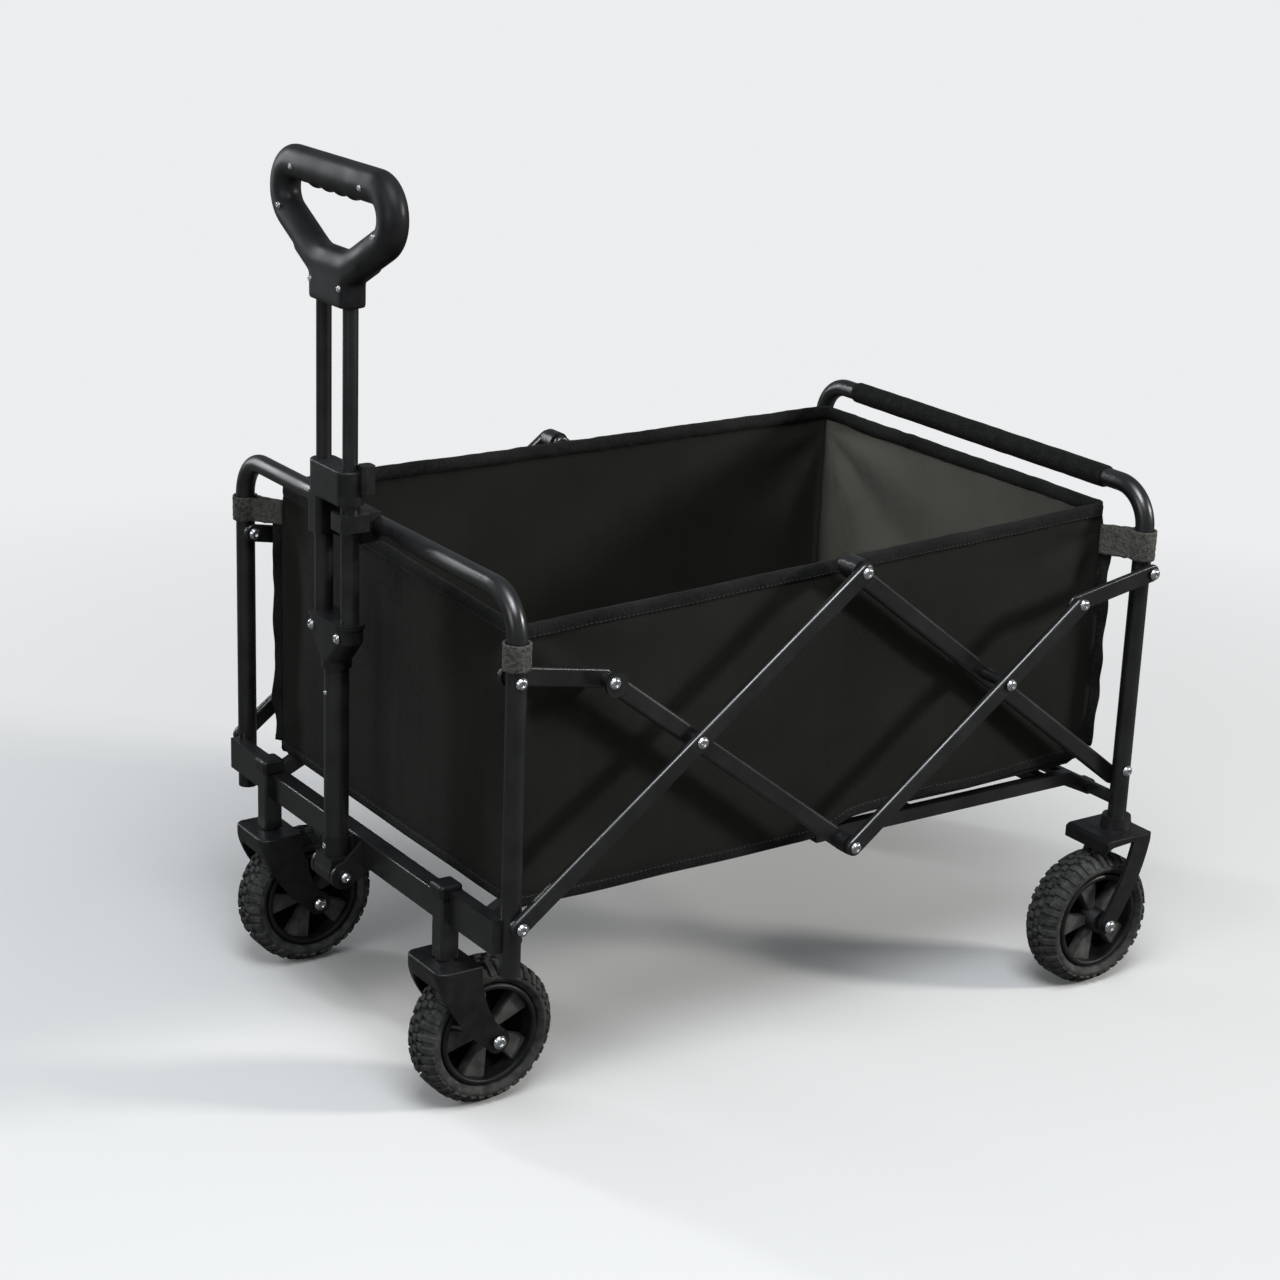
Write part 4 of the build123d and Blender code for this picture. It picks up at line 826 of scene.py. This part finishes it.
# %% Relaxed grip
shape = bmesh.new()
shape.from_mesh(node["grip"].data)
bmesh.ops.remove_doubles(shape, verts=shape.verts, dist=1e-6)
grip_skin = from_bmesh("grip_skin", shape, grip_plastic)
settle(grip_skin, ("REMESH", {"mode": "VOXEL", "voxel_size": 1.5 * mm}),
       ("SMOOTH", {"factor": 0.5, "iterations": 26}))
grip_skin.data.shade_smooth()
stand_for("grip", grip_skin, "handle_grip")

# %% [markdown]
# ## Hubs
# A hub is a moulded rim with a thin web in its middle. Five flat blades stand on
# each side of the web, narrow at the barrel and wide at the rim. The web and the
# walls of the deep pockets between the blades are painted near black, as painted
# shade, and the blades are painted paler, as painted light. The rim, web and barrel
# are one lathe; the blades are one wedge, set five times a side by the same tree as the tread.

# %% One blade
def add_prism(shape, near, away):
    """Adds a closed solid between two rings of points and returns its two end faces."""
    near, away = ([shape.verts.new(p) for p in ring] for ring in (near, away))
    ends = [shape.faces.new(near), shape.faces.new(list(reversed(away)))]
    for i in range(len(near)):
        j = (i + 1) % len(near)
        shape.faces.new((near[i], away[i], away[j], near[j]))
    return ends


def blade(name, root, tip, root_width, tip_width, thick):
    """A flat wedge from radius root to tip along Z, bevelled, its foot at y = 0 and its face up along Y."""
    shape = bmesh.new()
    corners = [(-root_width / 2, root), (root_width / 2, root), (tip_width / 2, tip), (-tip_width / 2, tip)]
    add_prism(shape, [(x, 0, z) for x, z in corners], [(x * 0.94, thick, z) for x, z in corners])
    bmesh.ops.recalc_face_normals(shape, faces=shape.faces)
    face_edges = [e for e in shape.edges if all(v.co.y > thick / 2 for v in e.verts)]
    bmesh.ops.bevel(shape, geom=face_edges, offset=0.9 * mm, segments=2, affect="EDGES")
    # The blade wears the paler finish, which is painted light.
    return from_bmesh(name, shape, hub_blade_plastic, in_scene=False)

# %% Hubs with deep pockets
rim_half, web_half, shaded_web_from = 20.3 * mm, 1.8 * mm, 13 * mm


def make_hub(wheel):
    centre, rim, half = measure(f"hub_{wheel}")
    side = [(4.1 * mm, half), (11.5 * mm, half), (12.8 * mm, half - 1.3 * mm), (13.2 * mm, 3.0 * mm),
            (14.5 * mm, web_half), (rim - 9.5 * mm, web_half), (rim - 8.2 * mm, 3.0 * mm),
            (rim - 6.6 * mm, rim_half - 4.5 * mm), (rim - 6.2 * mm, rim_half - 1.0 * mm),
            (rim - 5.0 * mm, rim_half), (rim - 2.4 * mm, rim_half), (rim - 0.2 * mm, rim_half - 2.2 * mm)]
    hub = lathe_y(f"hub_look_{wheel}", both_sides(side), centre, satin_plastic, 80)
    hub.data.materials.append(hub_web_plastic)
    # The web and the walls of the pockets get the near-black finish, which is painted shade of the deep pockets.
    for face in hub.data.polygons:
        r = hypot(face.center.x - centre.x, face.center.z - centre.z)
        face.material_index = int(shaded_web_from < r < rim - 8.4 * mm)
    wedge = blade(f"{hub.name}_blade", 11.5 * mm, rim - 6.5 * mm, 9 * mm, 28 * mm, rim_half - 6.5 * mm)
    for sy in (1, -1):
        foot, spokes = centre + Vector((0, sy * 0.8 * mm, 0)), [Vector((cos(a), 0, sin(a))) for a in angles(5)]
        blades = set_pieces(f"{hub.name}_blades", wedge,
                            [(foot, out, out.cross(Vector((0, sy, 0))), (1, 1, 1)) for out in spokes])
        blades.data.shade_flat()
        join(hub, [blades])
    stand_for(f"hub_{wheel}", hub, f"wheel_{wheel}")


for wheel in wheels:
    make_hub(wheel)

# %% [markdown]
# ## Rear forks
# A rear fork is pressed: a thin crown under the post's foot, with two curved legs
# that bow backwards and taper to the axle. Daylight shows between crown and tyre.
# The CAD fork keeps the crown as one block, which is enough to hold the post and
# the axle; the thin crown and the bowed legs are shaped here, inside its outline.

# %% Plates and arcs
def add_plate(shape, outline, y_from, y_to, rounding):
    """Adds a plate with an outline of (x, z) points between two y, with its rims rounded."""
    ends = add_prism(shape, [(x, y_from, z) for x, z in outline], [(x, y_to, z) for x, z in outline])
    rims = [e for face in ends for e in face.edges]
    bmesh.ops.bevel(shape, geom=rims, offset=rounding, segments=3, affect="EDGES")


def bow(a, b, bulge, count=14):
    """Points from a to b on a shallow arc that stands off the straight line by bulge."""
    a, b = Vector(a), Vector(b)
    side = Vector((-(b - a).y, (b - a).x)).normalized()
    return [tuple(a.lerp(b, s) + side * bulge * 4 * s * (1 - s)) for s in np.linspace(0, 1, count)]


def around(middle, radius, turns):
    """Points round the (x, z) of middle at these angles."""
    return [(middle.x + radius * cos(a), middle.z + radius * sin(a)) for a in turns]

# %% Pressed forks
foot_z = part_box("rear_hoop")[0].z
leg_out, leg_in, pin_in = 34.3 * mm, 29.8 * mm, 25.5 * mm
for b, _ in left_right:
    low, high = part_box(f"rear_fork_{b}")
    spin, mid_y, half_out = pivot[f"rear_wheel_{b}_spin"], (low.y + high.y) / 2, (high.y - low.y) / 2
    back, front = low.x + 0.4 * mm, high.x - 0.4 * mm
    shape = bmesh.new()
    end = around(spin, 10.6 * mm, [radians(a) for a in range(200, 385, 15)])
    leg = bow((back, foot_z - 1 * mm), end[0], -6.5 * mm) + end[1:-1]
    leg += bow(end[-1], (back + 24 * mm, foot_z - 1 * mm), 5.5 * mm)
    for s in (1, -1):
        for plate, y_in, y_out, rounding in ((leg, leg_in, leg_out, 1.3 * mm),
                                             (around(spin, 7 * mm, angles(28)), pin_in, half_out, 0.6 * mm)):
            add_plate(shape, plate, *sorted((mid_y + s * y_in, mid_y + s * y_out)), rounding)
    crown = [(back, foot_z), (back, foot_z - 6.5 * mm), (front - 9 * mm, foot_z - 6.5 * mm),
             (front, foot_z - 15 * mm), (front, foot_z - 3 * mm), (front - 5 * mm, foot_z)]
    add_plate(shape, crown, mid_y - leg_out + 0.2 * mm, mid_y + leg_out - 0.2 * mm, 1.6 * mm)
    socket = bmesh.ops.create_cone(shape, cap_ends=True, segments=48, radius1=17.5 * mm, radius2=15.5 * mm,
                                   depth=high.z - foot_z + 2 * mm)
    bmesh.ops.translate(shape, verts=socket["verts"], vec=(-post.x, mid_y, (high.z + foot_z) / 2 - 1 * mm))
    bmesh.ops.recalc_face_normals(shape, faces=shape.faces)
    fork = from_bmesh(f"rear_fork_look_{b}", shape, satin_plastic)
    stand_for(f"rear_fork_{b}", fork, "rear_frame")

# %% [markdown]
# ## Bolt heads
# Every pin of the linkage, the axles, the handle joints and the grip show a small
# zinc-plated head: a shallow dome with a hex socket. One head is built from rings
# of points, and Geometry Nodes set it on each place, one mesh for each body.

# %% One bolt head
head_radius, head_height, head_sides = 5.5 * mm, 3.2 * mm, 24
dome = [(1.12, 0.0), (1.15, 0.15625), (0.98, 0.28125), (0.93, 0.62), (0.72, 0.92), (0.5, 1)]  # shares of both
rings = [[(head_radius * r * cos(a), head_radius * r * sin(a), head_height * z) for a in angles(head_sides)]
         for r, z in dome]
for z in (0.98, 0.35):  # the mouth and the bottom of the hex socket
    hexagon = [(0.42 * cos(pi / 6) / cos((a + pi / 6) % (pi / 3) - pi / 6), a) for a in angles(head_sides)]
    rings.append([(head_radius * r * cos(a), head_radius * r * sin(a), head_height * z) for r, a in hexagon])
shape = bmesh.new()
add_skin(shape, rings)
head = from_bmesh("bolt_head_pattern", shape, zinc, in_scene=False)
print("bolt head:", len(head.data.polygons), "faces")


def set_bolts(name, body, places):
    """Sets bolt heads on places, as set_pieces takes them, and lets them ride on the body."""
    bolts = set_pieces(name, head, places)
    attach(bolts, body)
    print(name, len(places), "heads on", body)

# %% [markdown]
# The places come from the joints of the record, and from how far out each part
# reaches. For the linkage each is (x, z, y, turned outwards or inwards), for the
# left side, and the right side mirrors it.

# %% Bolts of the linkage
def outer_y(name):
    """How far out a left-hand part reaches."""
    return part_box(name)[1].y


sunk = 0.1 * mm  # how deep a head sits in what it clamps
cross, low_pin, top_pin = pivot["fold_front_cross"], pivot["fold"], pivot["fold_top_pin"]
link_x, _, link_z = pivot["fold_front_link"]
post_y = post.y + 9.6 * mm
tail_low, tail_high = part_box("cross_front_left")
tail_x, bottom_z = tail_high.x - 9.5 * mm, tail_low.z + 9.5 * mm
tail_z = (cross.z - bottom_z) / cross.x * tail_x + bottom_z
side_bolts = {
    "front_frame": [(low_pin.x, low_pin.z, outer_y("front_hoop"), 1), (link_x, link_z, post_y, 1),
                    (link_x, link_z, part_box("link_front_left")[0].y - 2.3 * mm, -1)],
    "rear_frame": [(-link_x, link_z, outer_y("rear_hoop"), 1), (-post.x, low_pin.z + 12 * mm, post_y, 1)],
    "long_front_bars": [(pin.x, pin.z, outer_y("long_front_left"), 1) for pin in (cross, top_pin)],
    "long_rear_bars": [(-cross.x, cross.z, outer_y("long_rear_left"), 1)],
    "cross_front_bars": [(tail_x, tail_z, outer_y("cross_front_left"), 1)],
    "cross_rear_bars": [(x, z, outer_y("cross_rear_left"), 1) for x, z in ((0.0, bottom_z), (-tail_x, tail_z))],
}
for body, bolts in side_bolts.items():
    set_bolts(f"bolts_{body}", body, [
        ((x, sy * (y - out * sunk), z), (0, sy * out, 0), (1, 0, 0.3), (1, 1, 1))
        for x, z, y, out in bolts for sy in (1, -1)])

# %% Axle bolts, grip screws and handle bolts
for end, forks in (("front", "castor_fork"), ("rear", "rear_fork")):
    for b, _ in left_right:
        spin, (low, high) = pivot[f"{end}_wheel_{b}_spin"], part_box(f"{forks}_{b}")
        set_bolts(f"axle_bolts_{end}_{b}", f"castor_{b}" if end == "front" else "rear_frame", [
            ((spin.x, y, spin.z), (0, out, 0), (1, 0, 0), (1.15, 1.15, 1.1))
            for y, out in ((high.y - sunk, 1), (low.y + sunk, -1))])

plain, small, tiny, screw = (0.85, 0.85, 0.9), (0.62, 0.62, 0.7), (0.42, 0.42, 0.4), (0.55, 0.55, 0.6)
grip_low, grip_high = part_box("grip")
set_bolts("grip_screws", "handle_grip", [
    ((grip_high.x - 0.9 * mm, sy * y * mm, grip_low.z + z * mm), (1, 0, 0), (0, 1, 0), screw)
    for y, z in ((69, 119), (95, 78), (29, 19)) for sy in (1, -1)])
joint_low, joint_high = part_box("handle_joint")
tube_x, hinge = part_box("handle_tube")[1].x, pivot["handle_tilt"]
set_bolts("handle_bolts", "handle", [((x, y, z), (1, 0, 0), (0, 1, 0), size) for x, y, z, size in (
    (joint_high.x - 1.5 * mm, 27 * mm, joint_low.z + 38 * mm, plain),
    (joint_high.x - 1.5 * mm, -27 * mm, joint_low.z + 38 * mm, plain),
    (tube_x, 0.0, joint_low.z - 26 * mm, tiny), (tube_x, 0.0, hinge.z + 27 * mm, small))])
bracket_y = outer_y("handle_bracket")
set_bolts("hinge_bolts", "front_frame", [
    ((hinge.x, sy * (bracket_y - sunk), hinge.z), (0, sy, 0), (1, 0, 0), plain) for sy in (1, -1)])

# %% [markdown]
# ## Hang the bag on its frame
# The real bag crumples as the wagon folds. Here the walls, bindings, corner flaps
# and stitches ride on the front frame, and the two floor panels on the two halves
# of the floor frame. Folded, the posts stand about a third as far apart.

sewn_on = [rim_binding, seam_binding, *flaps, *stitches]
for piece in [bag_walls, *sewn_on]:
    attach(piece, "front_frame")
    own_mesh(piece)
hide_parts("bag")
for panel, end in ((floor_cloth_front, "front"), (floor_cloth_rear, "rear")):
    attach(panel, f"{end}_floor")
print("the bag hangs as", 1 + len(sewn_on), "pieces and lies on the floor frame as 2")

# %% [markdown]
# ## Room, light and camera
# The wagon stands on a plain pale floor that fades, away from the wagon, into an
# even pale tone, so there is no horizon. Only the camera sees it that pale: what
# the floor throws back on the wagon is a dark grey. A key lamp stands at the left
# rear, a broad one hangs overhead like a bright sky, a soft one fills the front,
# a narrow strip on the far side draws thin bright edges on the tubes, and a small
# one looks down into the bag, so that the pleats of its end wall show. That one is
# linked to the walls alone, so that it leaves no patch on the floor behind them.
# One more, linked to the painted tubes and bars, draws the light lines on them.

# %% Floor
seen_tone, thrown_tone, far_tone = (0.84, 0.835, 0.82, 1), (0.16, 0.16, 0.15, 1), (0.84, 0.85, 0.86, 1)
fade_from, fade_to, floor_half = 0.7, 2.0, 30  # metres


def camera_ray(tree):
    """1 for rays from the camera, else 0."""
    return shade(tree, "LightPath", "Is Camera Ray")


def blend(tree, share, first, second):
    """The first shader, or the second where share is 1."""
    return shade(tree, "MixShader", "Shader", {"Fac": share, 1: first, 2: second})


paper = make_finish("pale_floor", (0.80, 0.80, 0.79), 0.9, specular=0.1)
tree, shader = inside(paper)
tones = {"A": thrown_tone, "B": seen_tone, "Factor": camera_ray(tree)}
feed(tree, shader.inputs["Base Color"], shade(tree, "Mix", "Result", tones, data_type="RGBA"))
reach = shade(tree, "VectorMath", "Value", {0: here(tree)}, operation="LENGTH")
fade = mix_numbers(tree, "MULTIPLY", between(tree, reach, 0.0, 1.0, fade_from, fade_to), camera_ray(tree))
even = shade(tree, "Emission", "Emission", {"Color": far_tone})
feed(tree, tree.nodes["Material Output"].inputs["Surface"], blend(tree, fade, shader.outputs["BSDF"], even))
corners = [[(x, y, 0) for y in (-floor_half, floor_half)] for x in (-floor_half, floor_half)]
ground = grid_mesh("floor", np.array(corners, float), paper)

# %% World
world = bpy.data.worlds.new("room")
world.use_nodes = True
bpy.context.scene.world = world
tree = world.node_tree
fill = tree.nodes["Background"]
fill.inputs["Color"].default_value, fill.inputs["Strength"].default_value = (0.86, 0.93, 1.0, 1), 0.2
pale = shade(tree, "Background", "Background", {"Color": far_tone})
feed(tree, tree.nodes["World Output"].inputs["Surface"],
     blend(tree, camera_ray(tree), fill.outputs["Background"], pale))

# %% Lamps
def soft_lamp(name, place, target, size, watts, colour=(1, 1, 1), spread=180):
    """An oblong lamp that looks from its place to the target; spread is in degrees."""
    lamp = bpy.data.lights.new(name, "AREA")
    lamp.shape, lamp.size, lamp.size_y = "RECTANGLE", size[0], size[1]
    lamp.energy, lamp.color, lamp.spread = watts, colour, radians(spread)
    holder = put(name, lamp)
    holder.location = place
    holder.rotation_euler = (Vector(target) - Vector(place)).to_track_quat("-Z", "Y").to_euler()
    return holder


soft_lamp("key", (-4.7, 4.0, 2.7), (0, 0.1, 0.35), (0.9, 0.9), 255, (1.0, 0.98, 0.94))
soft_lamp("sky", (0.9, 1.5, 3.4), (0, 0, 0.2), (1.9, 1.9), 85, (0.92, 0.96, 1.0))
soft_lamp("front_fill", (3.6, 0.9, 1.7), (0, 0, 0.35), (1.6, 1.6), 26)
soft_lamp("rim_strip", (1.7, -3.4, 1.5), (0, 0, 0.4), (0.3, 2.4), 45, (0.94, 0.97, 1.0))
bag_lamp = soft_lamp("into_the_bag", (1.5, -0.25, 2.3), (-0.37, -0.06, 0.46), (0.4, 0.4), 3.8, spread=22)
tube_lamp = soft_lamp("tube_edges", (0.9, 1.7, 3.3), (0, 0.2, 0.35), (1.3, 1.3), 80, (0.95, 0.98, 1.0))
painted = [o for o in node.values() if powder_coat.name in o.data.materials]
for lamp, lit in ((bag_lamp, [bag_walls]), (tube_lamp, painted)):
    only = lamp.light_linking.receiver_collection = bpy.data.collections.new(f"lit_by_{lamp.name}")
    for piece in lit:
        only.objects.link(piece)
    print(lamp.name, "lights", len(lit), "pieces")

# %% Camera
eye = Vector((1.6112, 2.2615, 1.2804))
yaw, pitch, roll = radians(-124.416), radians(-18.305), radians(2.208)
look = Vector((cos(pitch) * cos(yaw), cos(pitch) * sin(yaw), sin(pitch)))
level = look.cross(Vector((0, 0, 1))).normalized()
above = level.cross(look)
rightward = level * cos(roll) + above * sin(roll)
upward = above * cos(roll) - level * sin(roll)
lens = bpy.data.cameras.new("camera")
lens.lens, lens.sensor_width = 76.58, 36
camera = put("camera", lens)
camera.matrix_world = Matrix.Translation(eye) @ Matrix((rightward, upward, -look)).transposed().to_4x4()
bpy.context.scene.camera = camera
bpy.context.scene.view_settings.view_transform = "Standard"
print("camera at", tuple(round(v, 2) for v in eye))
